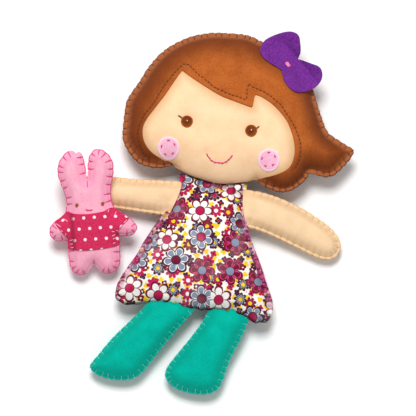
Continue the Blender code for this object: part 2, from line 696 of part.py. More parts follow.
# The hair's front piece runs as a strip from one end of the chin, over the top, to the other
hair_turns = np.concatenate([direction(hair_outline), direction(opening_outline)])
strip_start, strip_stop = direction(opening_outline[[0, -1]])
hair_turns = np.sort(hair_turns[(hair_turns >= strip_start) & (hair_turns <= strip_stop)])
hair_turns = hair_turns[np.insert(np.diff(hair_turns) > math.radians(0.9), 0, True)]
hair_turns[-1] = strip_stop
outer_reach = reach_at(front_outline, hair_turns)
inner_reach = reach_at(opening_outline, hair_turns)
stuffed_reach = dome_reach(hair_turns)
lap_limit = stuffed_reach * LAP_LIMIT_SHARE
laps = lap_limit > inner_reach + FELT
lapped = np.minimum(inner_reach + FACE_LAP, lap_limit)
lap_reach = np.where(laps, lapped, inner_reach - CLEARANCE * 2)


def between(near, far, share):
    """The value at a share of the way from one to another."""
    return near * (1.0 - share) + far * share


stuffed_reach = np.maximum(stuffed_reach, between(inner_reach, outer_reach, HAIR_DOME_SHARE))
middle_reach = between(inner_reach, stuffed_reach, HAIR_LAP_SHARE)
middle_reach = np.where(laps, lap_reach, middle_reach)
shoulder_reach = between(middle_reach, stuffed_reach, HAIR_SHOULDER_SHARE)
flange_top = HEAD_SEAM_Z + CLEARANCE / 2 + FELT
flange_low = HEAD_SEAM_Z + CLEARANCE / 2


def level_ring(turn, reach, height):
    """The 3-D points of a ring at one height."""
    return np.column_stack([head_point(turn, reach), np.full(len(turn), height)])


def hair_rows(reaches, depth):
    """Rows of points along the strip, one for each distance from the centre."""
    return [head_ring(hair_turns, reach, depth) for reach in reaches]


over = hair_rows((inner_reach, middle_reach, shoulder_reach, stuffed_reach), 0.0)
rim = [
    level_ring(hair_turns, outer_reach, flange_top),
    level_ring(hair_turns, outer_reach, flange_low),
]
under_outer = np.maximum(stuffed_reach - FELT, shoulder_reach)
under_reaches = (under_outer, shoulder_reach, middle_reach, inner_reach)
under = hair_rows(under_reaches, FELT)
hair_sections = np.stack(over + rim + under, axis=1)
hair_front = add_object("hair_front", strip_mesh("hair_front", hair_sections), HAIR_FELT)

# The face panel laps under the hair, and its chin is the head's own edge
chin_turns = direction(chin_outline)
chin_gap = CLEARANCE * 5 / HEAD_CENTRE_Y
ends = np.array([strip_start - chin_gap, strip_stop + chin_gap])
chin_turns = np.append(chin_turns, ends)
face_turns = np.concatenate([hair_turns, chin_turns])
chin_part = np.concatenate([np.zeros(len(hair_turns), bool), np.ones(len(chin_turns), bool)])
order = np.argsort(face_turns)
face_turns = face_turns[order]
chin_part = chin_part[order]
face_edge = np.concatenate([lap_reach, reach_at(front_outline, chin_turns)])[order]
face_stuffed = np.where(chin_part, dome_reach(face_turns), face_edge)
chin_inner = reach_at(front_outline, chin_turns) * CHIN_SHARE
hair_inner = np.where(laps, inner_reach, lap_reach * CHIN_SHARE)
face_inner = np.concatenate([hair_inner, chin_inner])[order]
face_depth = FELT + CLEARANCE * 3


def face_ring(reach, depth):
    """A ring of the face panel, which comes up from under the hair to the seam at the chin."""
    limit = dome_reach(face_turns)
    under_hair = np.clip((1.0 - reach / limit) / CHIN_EASE_SHARE, 0.0, 1.0)
    sunk = np.where(chin_part, under_hair, 1.0) * face_depth + depth
    place = head_point(face_turns, reach)
    height = np.maximum(head_height(face_turns, reach, sunk), flange_top - depth)
    return np.column_stack([place, height])


face_rings = [face_ring(face_inner * share, 0.0) for share in FACE_RING_SHARES]
face_rings += [face_ring(face_stuffed, 0.0), face_ring(face_edge, 0.0), face_ring(face_edge, FELT)]
face_rings.append(face_ring(face_stuffed - FELT * chin_part, FELT))
face_rings += [face_ring(face_inner * share, FELT) for share in reversed(FACE_RING_SHARES)]
face_panel = add_object("face_panel", ring_mesh("face_panel", face_rings), FACE_FELT)

# The back piece closes at the nape, just short of the dress's neckline
nape_x = HEAD_HALF_WIDTH * NAPE_WIDTH_SHARE
nape = np.array([(nape_x, NAPE_Y), (0.0, NAPE_Y), (-nape_x, NAPE_Y)])
back_outline = np.vstack([hair_outline[1:-1], nape])
back_reach = np.linalg.norm(back_outline - HEAD_CENTRE, axis=1)
back_form = Padded(
    back_outline,
    np.tile(HEAD_CENTRE, (len(back_outline), 1)),
    HEAD_FRONT_CROWN,
    HEAD_BACK_CROWN,
    HEAD_SEAM_Z,
    dome=np.minimum(dome_reach(direction(back_outline)), back_reach - FLANGE),
    power=HEAD_SWELL_POWER,
)
hair_back = add_object("hair_back", ring_mesh("hair_back", back_form.panel(-1)), HAIR_FELT)
cut(hair_back, FLOOR)

# The head's stuffing keeps clear of every seam, so it is drawn on even, smoothed directions
even_turns = np.arange(HEAD_STUFFING_STEPS) * math.tau / HEAD_STUFFING_STEPS
core_reach = np.minimum(dome_reach(even_turns) + FLANGE, reach_at(back_outline, even_turns))
core = Padded(
    head_point(even_turns, core_reach),
    np.tile(HEAD_CENTRE, (HEAD_STUFFING_STEPS, 1)),
    HEAD_FRONT_CROWN - FELT * 2 - SLACK * 2,
    HEAD_BACK_CROWN,
    HEAD_SEAM_Z,
    power=HEAD_SWELL_POWER,
)
head_fill = ring_mesh("head_stuffing", core.filling(RING_SHARES, FELT + SLACK * 2))
head_stuffing = add_object("head_stuffing", head_fill, STUFFING)

# The neck's wire runs from the bend at the neckline up into the head
neck_path = [
    (0.0, NECK_PIVOT_Y + BEND_RADIUS + CLEARANCE, TORSO_SEAM_Z),
    (0.0, NECK_PIVOT_Y + JOINT_GAP * 2, TORSO_SEAM_Z),
    (0.0, NECK_WIRE_END_Y, HEAD_SEAM_Z),
]
make_wire("neck_wire", neck_path)
neck_bore = make_bore("neck_bore", out_from(neck_path, CLEARANCE * 2))
for piece in (hair_back, head_stuffing):
    cut(piece, neck_bore)


# Trims: each is seated on the felt that carries it


def surface_tree(piece):
    """A search tree over an object's faces, in world space."""
    work = bmesh.new()
    work.from_mesh(piece.data)
    work.transform(piece.matrix_basis)
    tree = BVHTree.FromBMesh(work)
    points = [vertex.co.copy() for vertex in work.verts]
    work.free()
    return tree, points


def seat(pieces, carrier, gap=SEAT_GAP):
    """Lowers pieces together until the first stands a small gap above the carrier's top."""
    down, up = Vector((0, 0, -1)), Vector((0, 0, 1))
    carrier_tree, carrier_points = surface_tree(carrier)
    gaps = []
    for piece in pieces:
        tree, points = surface_tree(piece)
        for point in points:
            hit = carrier_tree.ray_cast(point, down)[0]
            if hit is not None:
                gaps.append(point.z - hit.z)
        for point in carrier_points:
            hit = tree.ray_cast(point, up)[0]
            if hit is not None:
                gaps.append(hit.z - point.z)
    for piece in pieces:
        piece.location.z -= min(gaps) - gap


def head_tilt(x, y):
    """The turn that lays a piece flat on the head's front at a plan point."""
    def height(at_x, at_y):
        out = np.array([[at_x, at_y]])
        reach = np.linalg.norm(out - HEAD_CENTRE)
        return head_height(direction(out), reach, face_depth)[0]

    slope_x = (height(x + FELT, y) - height(x - FELT, y)) / (2 * FELT)
    slope_y = (height(x, y + FELT) - height(x, y - FELT)) / (2 * FELT)
    return Vector((-slope_x, -slope_y, 1.0)).to_track_quat("Z", "Y")


def disc(name, diameter, thickness, colour):
    """A round felt disc with softened edges."""
    work = bmesh.new()
    bmesh.ops.create_cone(
        work,
        cap_ends=True,
        segments=20,
        radius1=diameter / 2,
        radius2=diameter / 2,
        depth=thickness,
    )
    mesh = bpy.data.meshes.new(name)
    work.to_mesh(mesh)
    work.free()
    return add_object(name, mesh, colour)


for name, place_share, diameter, thickness, colour in (
    ("right_eye", RIGHT_EYE_SHARE, EYE_DIAMETER, EYE_THICKNESS, EYE_FELT),
    ("left_eye", LEFT_EYE_SHARE, EYE_DIAMETER, EYE_THICKNESS, EYE_FELT),
    ("right_cheek", RIGHT_CHEEK_SHARE, CHEEK_DIAMETER, CHEEK_THICKNESS, CHEEK_FELT),
    ("left_cheek", LEFT_CHEEK_SHARE, CHEEK_DIAMETER, CHEEK_THICKNESS, CHEEK_FELT),
):
    x, y = placed([place_share], HEAD_HALF_WIDTH, HEAD_HEIGHT)[0]
    trim = disc(name, diameter, thickness, colour)
    trim.rotation_mode = "QUATERNION"
    trim.rotation_quaternion = head_tilt(x, y)
    trim.location = (x, y, HEAD_SEAM_Z + HEAD_FRONT_CROWN * 2)
    seat([trim], face_panel)


def felt_plate(name, outline, thickness, colour):
    """A flat felt shape: its outline filled and given the felt's thickness."""
    work = bmesh.new()
    corners = [work.verts.new((x, y, 0.0)) for x, y in outline]
    face = work.faces.new(corners)
    made = bmesh.ops.extrude_face_region(work, geom=[face])["geom"]
    lifted = [item for item in made if isinstance(item, bmesh.types.BMVert)]
    bmesh.ops.translate(work, vec=(0.0, 0.0, thickness), verts=lifted)
    bmesh.ops.recalc_face_normals(work, faces=work.faces)
    mesh = bpy.data.meshes.new(name)
    work.to_mesh(mesh)
    work.free()
    return add_object(name, mesh, colour)


def knot(name, diameter, height, colour):
    """A flattened knot of thread."""
    work = bmesh.new()
    bmesh.ops.create_uvsphere(work, u_segments=10, v_segments=6, radius=diameter / 2)
    work.transform(Matrix.Diagonal((1.0, 1.0, height / diameter, 1.0)))
    mesh = bpy.data.meshes.new(name)
    work.to_mesh(mesh)
    work.free()
    return add_object(name, mesh, colour)


# The bow lies over the edge of the hair, tipped down toward it, with a knot at its waist
bow = felt_plate("hair_bow", placed(BOW_SHARES, BOW_LENGTH, BOW_LENGTH), BOW_THICKNESS, BOW_FELT)
bow_away = Vector((BOW_CENTRE_X - HEAD_CENTRE_X, BOW_CENTRE_Y - HEAD_CENTRE_Y, 0.0)).normalized()
bow_hinge = Vector((-bow_away.y, bow_away.x, 0.0))
bow_turn = Quaternion(bow_hinge, BOW_TILT) @ Quaternion((0.0, 0.0, 1.0), BOW_TURN)
bow_knot = knot("bow_knot", KNOT_RADIUS * 2, KNOT_HEIGHT, KNOT_THREAD)
for piece in (bow, bow_knot):
    piece.rotation_mode = "QUATERNION"
    piece.rotation_quaternion = bow_turn
    piece.location = (BOW_CENTRE_X, BOW_CENTRE_Y, HEAD_SEAM_Z + HEAD_FRONT_CROWN * 2)
seat([bow], hair_front, SEAT_GAP * 2)
bow_knot.location = bow.location + bow_turn @ Vector((0.0, 0.0, KNOT_HEIGHT * 2))
seat([bow_knot], bow)


# Toy rabbit: two pink felt panels over stuffing, with a sweater's front and back laid on them


def toy_rows(rows):
    """A whole outline with its spine points and crown shares, from rows of its right half."""
    left = [(-x, y, word, -1) for x, y, word in reversed(rows) if x > 0]
    right = [(x, y, word, 1) for x, y, word in rows]
    size = np.array([TOY_HALF_WIDTH, TOY_HEIGHT])
    every = right + left
    outline = np.array([(x, y) for x, y, _, _ in every]) * size
    spine = np.array([TOY_SPINE_SHARES[word] for _, _, word, _ in every]) * size
    spine[:, 0] *= [sign for _, _, _, sign in every]
    crown = TOY_CROWN * np.array([TOY_CROWN_SHARES[word] for _, _, word, _ in every])
    return outline, spine, crown


toy_outline, toy_spine, toy_crown = toy_rows(TOY_SHARES)
toy = Padded(toy_outline, toy_spine, toy_crown, toy_crown, 0.0, TOY_FLANGE, TOY_FELT)
toy_front_rings = toy.panel(1, TOY_RING_SHARES, TOY_LINING_SHARES)
toy_back_rings = toy.panel(-1, TOY_RING_SHARES, TOY_LINING_SHARES)
toy_front = add_object("toy_front", ring_mesh("toy_front", toy_front_rings), TOY_PINK)
toy_back = add_object("toy_back", ring_mesh("toy_back", toy_back_rings), TOY_PINK)
toy_fill = ring_mesh("toy_stuffing", toy.filling(TOY_LINING_SHARES, SLACK))
toy_stuffing = add_object("toy_stuffing", toy_fill, STUFFING)


def sweater_layer(side):
    """A felt layer laid over one side of the whole toy, before it is cut to the sweater."""
    inner = TOY_FELT + CLEARANCE * 2
    outer = inner + SWEATER_FELT_THICKNESS
    rings = [toy.ring(share, TOY_FELT - outer, side) for share in TOY_RING_SHARES]
    for height in (outer, inner):
        edge = toy.edge(side, True)
        edge[:, 2] += side * height
        rings.append(edge)
    rings += [toy.ring(share, TOY_FELT - inner, side) for share in reversed(TOY_RING_SHARES)]
    return rings


def sweater_cutter():
    """The sweater's outline as a tall prism."""
    right = [(x, y) for x, y, _ in SWEATER_SHARES]
    left = [(-x, y) for x, y in reversed(right) if x > 0]
    outline = placed(right + left, TOY_HALF_WIDTH, TOY_HEIGHT)
    work = bmesh.new()
    face = work.faces.new([work.verts.new((x, y, -TOY_CROWN * 2)) for x, y in outline])
    made = bmesh.ops.extrude_face_region(work, geom=[face])["geom"]
    lifted = [item for item in made if isinstance(item, bmesh.types.BMVert)]
    bmesh.ops.translate(work, vec=(0.0, 0.0, TOY_CROWN * 4), verts=lifted)
    bmesh.ops.recalc_face_normals(work, faces=work.faces)
    mesh = bpy.data.meshes.new("sweater_outline")
    work.to_mesh(mesh)
    work.free()
    return add_object("sweater_outline", mesh, None, CUTTERS)


sweater_outline = sweater_cutter()
toy_pieces = [toy_front, toy_back, toy_stuffing, sweater_outline]
for side, name in ((1, "sweater_front"), (-1, "sweater_back")):
    layer = add_object(name, ring_mesh(name, sweater_layer(side)), SWEATER_FELT)
    trim = layer.modifiers.new("cut_to_outline", "BOOLEAN")
    trim.operation = "INTERSECT"
    trim.solver = "EXACT"
    trim.object = sweater_outline
    toy_pieces.append(layer)
for side, name in ((-1, "toy_right_eye"), (1, "toy_left_eye")):
    eye = knot(name, TOY_EYE_DIAMETER, TOY_EYE_HEIGHT, TOY_EYE_THREAD)
    x, y = placed([TOY_EYE_SHARE], TOY_HALF_WIDTH, TOY_HEIGHT)[0]
    eye.location = (side * x, y, TOY_CROWN * 3)
    seat([eye], toy_front)
    toy_pieces.append(eye)

# The toy leans on the hand: its head and ears are stitched to it, and its feet hang lower
toy_turn = Quaternion((1.0, 0.0, 0.0), TOY_TILT)
toy_turn = toy_turn @ Quaternion((0.0, 0.0, 1.0), TOY_LEAN)
for piece in toy_pieces:
    piece.rotation_mode = "QUATERNION"
    piece.rotation_quaternion = toy_turn
    place = toy_turn @ piece.location
    piece.location = place + Vector((TOY_CENTRE_X, TOY_CENTRE_Y, HEAD_SEAM_Z * 2))
before = toy_back.location.z
seat([toy_back], bpy.data.objects["right_arm_front"])
for piece in toy_pieces:
    if piece is not toy_back:
        piece.location.z += toy_back.location.z - before


# The whole doll stands on the floor plane, centred over the origin


def centre_doll():
    """Parents every piece and cutter to an empty that centres the doll's plan over the origin."""
    corners = []
    for piece in DOLL.objects:
        corners += [piece.matrix_basis @ vertex.co for vertex in piece.data.vertices]
    corners = np.array(corners)
    middle = (corners.min(axis=0) + corners.max(axis=0)) / 2
    frame = bpy.data.objects.new("doll_frame", None)
    bpy.context.scene.collection.objects.link(frame)
    frame.location = (-middle[0], -middle[1], 0.0)
    for piece in [*DOLL.objects, *CUTTERS.objects]:
        piece.parent = frame
    return frame


doll_frame = centre_doll()
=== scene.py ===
"""A stuffed felt rag doll with bendable limbs, lying on its back on a white table."""

import json
import math

import bmesh
import bpy
import numpy as np
from mathutils import Matrix, Quaternion, Vector

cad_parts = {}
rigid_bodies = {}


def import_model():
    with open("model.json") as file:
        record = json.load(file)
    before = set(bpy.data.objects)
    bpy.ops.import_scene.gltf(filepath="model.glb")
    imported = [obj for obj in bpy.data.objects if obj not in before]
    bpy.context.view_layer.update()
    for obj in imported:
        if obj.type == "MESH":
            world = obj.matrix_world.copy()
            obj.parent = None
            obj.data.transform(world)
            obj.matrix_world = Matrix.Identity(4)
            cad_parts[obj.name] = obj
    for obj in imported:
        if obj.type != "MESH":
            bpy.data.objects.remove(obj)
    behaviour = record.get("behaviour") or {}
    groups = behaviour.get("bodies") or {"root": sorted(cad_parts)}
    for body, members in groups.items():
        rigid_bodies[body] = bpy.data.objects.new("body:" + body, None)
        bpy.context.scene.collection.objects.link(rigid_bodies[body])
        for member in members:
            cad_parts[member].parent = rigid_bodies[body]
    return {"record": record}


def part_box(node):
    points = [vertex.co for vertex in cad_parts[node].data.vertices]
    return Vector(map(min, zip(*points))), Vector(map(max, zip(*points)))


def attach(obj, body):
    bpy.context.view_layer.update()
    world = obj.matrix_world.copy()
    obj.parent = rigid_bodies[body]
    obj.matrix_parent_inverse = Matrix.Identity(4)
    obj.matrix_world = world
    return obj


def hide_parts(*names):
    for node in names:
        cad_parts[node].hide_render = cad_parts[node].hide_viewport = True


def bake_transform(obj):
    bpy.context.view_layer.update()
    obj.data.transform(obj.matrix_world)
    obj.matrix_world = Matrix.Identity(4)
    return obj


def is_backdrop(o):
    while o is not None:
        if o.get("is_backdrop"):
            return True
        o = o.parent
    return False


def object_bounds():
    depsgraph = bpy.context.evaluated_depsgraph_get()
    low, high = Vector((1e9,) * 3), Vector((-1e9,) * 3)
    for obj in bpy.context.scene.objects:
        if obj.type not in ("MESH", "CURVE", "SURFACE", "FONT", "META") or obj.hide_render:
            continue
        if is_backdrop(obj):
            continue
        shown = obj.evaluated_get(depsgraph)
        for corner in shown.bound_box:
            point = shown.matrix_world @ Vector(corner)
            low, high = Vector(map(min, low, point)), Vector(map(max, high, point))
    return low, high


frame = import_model()
cad_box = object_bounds()

# The picture: the doll lies turned a little clockwise, and the camera looks almost straight down
# on it from the side of its feet. Every plan point below is counted from the middle of the
# neckline, in metres, with the head toward +Y.
joint_points = {joint["name"]: joint["pos_m"] for joint in frame["record"]["behaviour"]["joints"]}
NECKLINE = np.array(joint_points["neck_nod"][:2]) - (0.0, 0.0047)
PICTURE_TURN = math.radians(7.5)
CAMERA_RISE = math.radians(82.0)
CAMERA_DISTANCE = 2.2
PICTURE_WIDTH = 0.3226
PICTURE_CENTRE = (-0.0014, -0.0203)
TABLE_LEVEL = 0.020

scene = bpy.context.scene
picture_up = Vector((-math.sin(PICTURE_TURN), math.cos(PICTURE_TURN), 0.0))
picture_right = Vector((math.cos(PICTURE_TURN), math.sin(PICTURE_TURN), 0.0))
camera_back = -picture_up * math.cos(CAMERA_RISE) + Vector((0, 0, math.sin(CAMERA_RISE)))
camera_up = camera_back.cross(picture_right)
camera_data = bpy.data.cameras.new("camera")
camera_data.sensor_width = 36.0
camera_data.lens = 36.0 * CAMERA_DISTANCE / PICTURE_WIDTH
camera = bpy.data.objects.new("camera", camera_data)
scene.collection.objects.link(camera)
aim = Vector((*(NECKLINE + PICTURE_CENTRE), TABLE_LEVEL))
turn = Matrix((picture_right, camera_up, camera_back)).transposed().to_4x4()
camera.matrix_world = Matrix.Translation(aim + camera_back * CAMERA_DISTANCE) @ turn
scene.camera = camera
scene.view_settings.view_transform = "Standard"


def area_lamp(name, place, size, power):
    """A square soft box that faces the doll."""
    data = bpy.data.lights.new(name, "AREA")
    data.size = size
    data.energy = power
    lamp = bpy.data.objects.new(name, data)
    scene.collection.objects.link(lamp)
    lamp.location = place
    lamp.rotation_mode = "QUATERNION"
    lamp.rotation_quaternion = (Vector(place) - aim).to_track_quat("Z", "Y")


area_lamp("window_lamp", (-0.14, 0.54, 1.36), 0.55, 18.5)
area_lamp("fill_lamp", (0.5, -0.8, 1.1), 1.2, 1.6)
world = bpy.data.worlds.new("white_room")
scene.world = world
world.use_nodes = True
world.node_tree.nodes["Background"].inputs["Color"].default_value = (1.0, 1.0, 1.0, 1.0)
world.node_tree.nodes["Background"].inputs["Strength"].default_value = 0.36


class Shade:
    """One socket of a material's nodes; arithmetic on it adds Math nodes to the same material."""

    def __init__(self, tree, socket):
        self.tree = tree
        self.socket = socket

    def node(self, kind, inputs, output=0, **settings):
        """Adds a node of any type: its settings first, then the values or links of its sockets."""
        made = self.tree.nodes.new("ShaderNode" + kind)
        stops = settings.pop("stops", None)
        for name, value in settings.items():
            setattr(made, name, value)
        if stops:
            ramp = made.color_ramp.elements
            made.color_ramp.interpolation = "CONSTANT"
            while len(ramp) < len(stops):
                ramp.new(1.0)
            for element, (place, colour) in zip(ramp, stops):
                element.position = place
                element.color = (*colour, 1.0)
        for key, value in inputs.items():
            if isinstance(value, Shade):
                self.tree.links.new(value.socket, made.inputs[key])
            else:
                made.inputs[key].default_value = value
        return Shade(self.tree, made.outputs[output])

    def math(self, operation, *values):
        """A Math node of this value and the given ones."""
        return self.node("Math", dict(enumerate((self, *values))), operation=operation)

    def __add__(self, other):
        return self.math("ADD", other)

    __radd__ = __add__

    def __mul__(self, other):
        return self.math("MULTIPLY", other)

    __rmul__ = __mul__

    def __sub__(self, other):
        return self.math("SUBTRACT", other)

    def __rsub__(self, other):
        return self * -1.0 + other

    def step(self, low, high):
        """0 below low, 1 above high, and a smooth rise between them; high may be the lower."""
        levels = {"Value": self, "From Min": low, "From Max": high}
        return self.node("MapRange", levels, interpolation_type="SMOOTHSTEP")

    def scaled(self, x, y, z):
        """A vector times three numbers."""
        return self.node("VectorMath", {0: self, 1: (x, y, z)}, operation="MULTIPLY")

    def noise(self, size, detail=2.0, roughness=0.5):
        """Noise whose lumps are about one size across, in metres, from 0 to 1."""
        levels = {"Vector": self, "Scale": 1.0 / size, "Detail": detail, "Roughness": roughness}
        return self.node("TexNoise", levels)

    def tint(self, colour, other):
        """The mix from a colour to another by this mask."""
        sides = {0: self, 6: colour, 7: other}
        return self.node("Mix", sides, output=2, data_type="RGBA")


def rgb(red, green, blue):
    """A colour for a shader from the 0 to 255 levels of a picture."""
    level = np.array([red, green, blue]) / 255.0
    linear = np.where(level <= 0.04045, level / 12.92, ((level + 0.055) / 1.055) ** 2.4)
    return (*linear.tolist(), 1.0)


def new_finish(name):
    """A material with its shader, and its Object coordinates as a Shade."""
    made = bpy.data.materials.new(name)
    made.use_nodes = True
    tree = made.node_tree
    shader = tree.nodes["Principled BSDF"]
    place = tree.nodes.new("ShaderNodeTexCoord")
    return made, shader, Shade(tree, place.outputs["Object"])


# The table: a plain white sheet of paper that keeps the doll's soft shadow.
PAPER = 3.0
paper_mesh = bpy.data.meshes.new("table")
corners = [(-PAPER, -PAPER, 0), (PAPER, -PAPER, 0), (PAPER, PAPER, 0), (-PAPER, PAPER, 0)]
paper_mesh.from_pydata(corners, [], [(0, 1, 2, 3)])
table = bpy.data.objects.new("table", paper_mesh)
scene.collection.objects.link(table)
paper, paper_shader, _ = new_finish("white_paper")
paper_shader.inputs["Base Color"].default_value = (0.98, 0.98, 0.98, 1.0)
paper_shader.inputs["Roughness"].default_value = 1.0
paper_shader.inputs["Specular IOR Level"].default_value = 0.0
paper_mesh.materials.append(paper)
table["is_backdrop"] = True


# Felt forms. Each is two layers of wool felt cut to one outline, stitched together near the edge
# and stuffed, so that a flat seam edge runs round a rounded body.
FELT = 0.0012
SEAM_GAP = 0.0003
COLUMN = 0.0007


def evenly(curve, count):
    """Samples a closed curve at even steps of its length."""
    closed = np.vstack([curve, curve[:1]])
    length = np.append(0.0, np.cumsum(np.linalg.norm(np.diff(closed, axis=0), axis=1)))
    steps = np.arange(count) * length[-1] / count
    return np.column_stack([np.interp(steps, length, closed[:, axis]) for axis in range(2)])


def through(points):
    """A closed curve through points in millimetres: each span is the cubic whose slope at a point
    is half the way from the point before it to the one after it."""
    here = np.array(points, dtype=float)[:, None, :] / 1000.0
    before, after, beyond = np.roll(here, 1, 0), np.roll(here, -1, 0), np.roll(here, -2, 0)
    t = np.linspace(0.0, 1.0, 24, endpoint=False)[None, :, None]
    cubic = 3 * here - before - 3 * after + beyond
    square = 2 * before - 5 * here + 4 * after - beyond
    curve = (here + 0.5 * ((after - before) * t + square * t**2 + cubic * t**3)).reshape(-1, 2)
    around = np.linalg.norm(np.diff(np.vstack([curve, curve[:1]]), axis=0), axis=1).sum()
    return evenly(curve, int(around / COLUMN))


def ripple(place, size, seed):
    """Soft irregular waves between -1 and 1: the mean of nine sines, each along its own way."""
    draw = np.random.default_rng(seed)
    way = draw.normal(size=(9, place.shape[-1]))
    way *= (math.tau / size) * draw.uniform(0.6, 1.4, (9, 1)) / np.linalg.norm(way, axis=1)[:, None]
    waves = np.sin(np.tensordot(place, way, axes=(-1, 1)) + draw.uniform(0, math.tau, 9))
    return waves.mean(axis=-1) * 1.8


def nearest_on(line, place):
    """For each plan point, its distance to the nearest of a line's points, and which that is."""
    flat = place.reshape(-1, 2) @ np.array([1.0, 1.0j])
    edge = line @ np.array([1.0, 1.0j])
    parts = np.array_split(flat, max(len(flat) // 2000, 1))
    which = np.concatenate([np.abs(part[:, None] - edge).argmin(axis=1) for part in parts])
    gap = np.abs(flat - edge[which])
    return gap.reshape(place.shape[:-1]), which.reshape(place.shape[:-1])


class Form:
    """A stitched and stuffed form. Its height is the crown times the upper right quarter of a
    circle over the distance from the stitch line, times a swelling that is the solution of
    Laplacian(u) - u / bulk^2 = -1 inside the outline and grows toward the form's middle."""

    def __init__(self, outline, seam, front, back, flange=0.003, round_off=0.012, bulk=0.02):
        self.outline = outline
        self.seam = seam
        self.crowns = {1: front, -1: back}
        self.flange = flange
        self.round_off = round_off
        self.stitches = np.zeros(0)
        self.rim = np.ones(len(outline))
        self.free = np.ones(len(outline), bool)
        self.pull = self.pucker = 0.0
        self.crease = 0.003
        after = np.roll(outline, -1, 0) - np.roll(outline, 1, 0)
        self.along = after / np.linalg.norm(after, axis=1)[:, None]
        x, y = outline.T
        clockwise = np.sum(x * np.roll(y, -1) - y * np.roll(x, -1)) < 0
        side = np.array([[0.0, -1.0], [1.0, 0.0]]) if clockwise else np.array([[0.0, 1.0], [-1.0, 0.0]])
        self.inward = self.along @ side
        steps = np.linalg.norm(np.diff(np.vstack([outline, outline[:1]]), axis=0), axis=1)
        self.length = steps.sum()
        self.arc = np.arange(len(outline)) * self.length / len(outline)
        self.cell = 0.002
        self.low = outline.min(axis=0) - 2 * self.cell
        shape = np.ceil((outline.max(axis=0) - self.low) / self.cell).astype(int) + 3
        gx, gy = (self.low[axis] + np.arange(shape[axis]) * self.cell for axis in range(2))
        x2, y2 = np.roll(x, -1), np.roll(y, -1)
        spans = (y[None, :] > gy[:, None]) != (y2[None, :] > gy[:, None])
        rise = np.where(y2 == y, 1.0, y2 - y)
        cross = np.where(spans, x + (gy[:, None] - y) / rise * (x2 - x), np.inf)
        inside = (cross[None, :, :] < gx[:, None, None]).sum(axis=2) % 2
        swell = np.zeros(inside.shape)
        drag = 4.0 + (self.cell / bulk) ** 2
        for _ in range(900):
            around = swell[2:, 1:-1] + swell[:-2, 1:-1] + swell[1:-1, 2:] + swell[1:-1, :-2]
            swell[1:-1, 1:-1] = inside[1:-1, 1:-1] * (around + 1.0) / drag
        self.swell = swell / swell.max()

    def nearest(self, place):
        """For each plan point, its distance to the outline and the outline point that is nearest,
        leaving out the part of the outline that is sewn into another form."""
        return nearest_on(np.where(self.free[:, None], self.outline, 9.0), place)

    def inset(self, place):
        """How far plan points lie inside the stitched edge, in millimetres, which sets where the felt's painted
        shade bands and the dress's painted hem shadow fall; edges without stitches count 100 more.
        """
        gap, which = self.nearest(place)
        return gap * 1000.0 + (1.0 - self.rim[which]) * 100.0

    def swelling(self, place):
        """The swelling at plan points, read between the grid's cells."""
        cell = (place - self.low) / self.cell
        base = np.clip(np.floor(cell).astype(int), 0, np.array(self.swell.shape) - 2)
        part = np.clip(cell - base, 0.0, 1.0)
        i, j = base[..., 0], base[..., 1]
        s, t = part[..., 0], part[..., 1]
        near = self.swell[i, j] * (1 - s) + self.swell[i + 1, j] * s
        far = self.swell[i, j + 1] * (1 - s) + self.swell[i + 1, j + 1] * s
        return near * (1 - t) + far * t

    def pinch(self, arc, width=0.0009):
        """How near a length along the edge is to a stitch, from 0 to 1."""
        if not len(self.stitches):
            return np.zeros(np.shape(arc))
        gap = np.abs(np.asarray(arc)[..., None] - self.stitches)
        gap = np.minimum(gap, self.length - gap).min(axis=-1)
        return np.exp(-((gap / width) ** 2))

    def height(self, place, side=1):
        """The height of the cloth's outer face over plan points; side is 1 above, -1 below."""
        gap, which = self.nearest(place)
        flange = np.broadcast_to(self.flange, len(self.outline))[which]
        share = np.clip((gap - flange) / self.round_off, 0.0, 1.0)
        dome = np.sqrt(1.0 - (1.0 - share) ** 2) * (0.6 + 0.4 * self.swelling(place))
        crown = self.crowns[side]
        crown = crown(place) if callable(crown) else crown
        hollow = self.pucker * self.pinch(self.arc[which], 0.0013) * np.exp(-((gap - flange) / self.crease) ** 2)
        soft = FELT * np.sqrt(1.0 - (1.0 - np.clip(gap / 0.0007, 0.0, 1.0)) ** 2)
        seam = self.seam(place) if callable(self.seam) else self.seam
        return seam + side * (SEAM_GAP / 2 + soft + crown * dome - hollow)

    def rows(self, spine, side, count=30):
        """Plan points from the spine out to the edge, one row for each step, and their heights."""
        out = self.outline + self.inward * (self.pull * self.pinch(self.arc))[:, None]
        reach = np.linalg.norm(out - spine, axis=1)[:, None]
        hem = np.minimum(0.0045, reach[:, 0] * 0.5)[:, None]
        share = np.sin(np.linspace(0.0, math.pi / 2, count))[None, :]
        inner = share * (reach - hem)
        outer = reach - hem * np.array([0.8, 0.62, 0.46, 0.32, 0.2, 0.1, 0.04, 0.012, 0.0])[None, :]
        lengths = np.hstack([inner, outer])
        place = spine[:, None, :] + (out - spine)[:, None, :] * (lengths / reach)[..., None]
        return np.concatenate([place, self.height(place, side)[..., None]], axis=2)


def grid_mesh(name, grid, wrap_rows=True, wrap_columns=True, inset=None):
    """A mesh of quads over a grid of points; the grid may close on itself along both ways."""
    count, across = grid.shape[:2]
    one = np.arange(count if wrap_rows else count - 1)[:, None]
    two = np.arange(across if wrap_columns else across - 1)[None, :]
    after, beside = (one + 1) % count, (two + 1) % across
    corners = [one * across + two, after * across + two, after * across + beside, one * across + beside]
    faces = np.stack(corners, axis=-1)
    mesh = bpy.data.meshes.new(name)
    mesh.from_pydata((grid.reshape(-1, 3) + (*NECKLINE, 0.0)).tolist(), [], faces.reshape(-1, 4).tolist())
    if inset is not None:
        mesh.attributes.new("inset", "FLOAT", "POINT").data.foreach_set("value", inset.ravel())
    return mesh


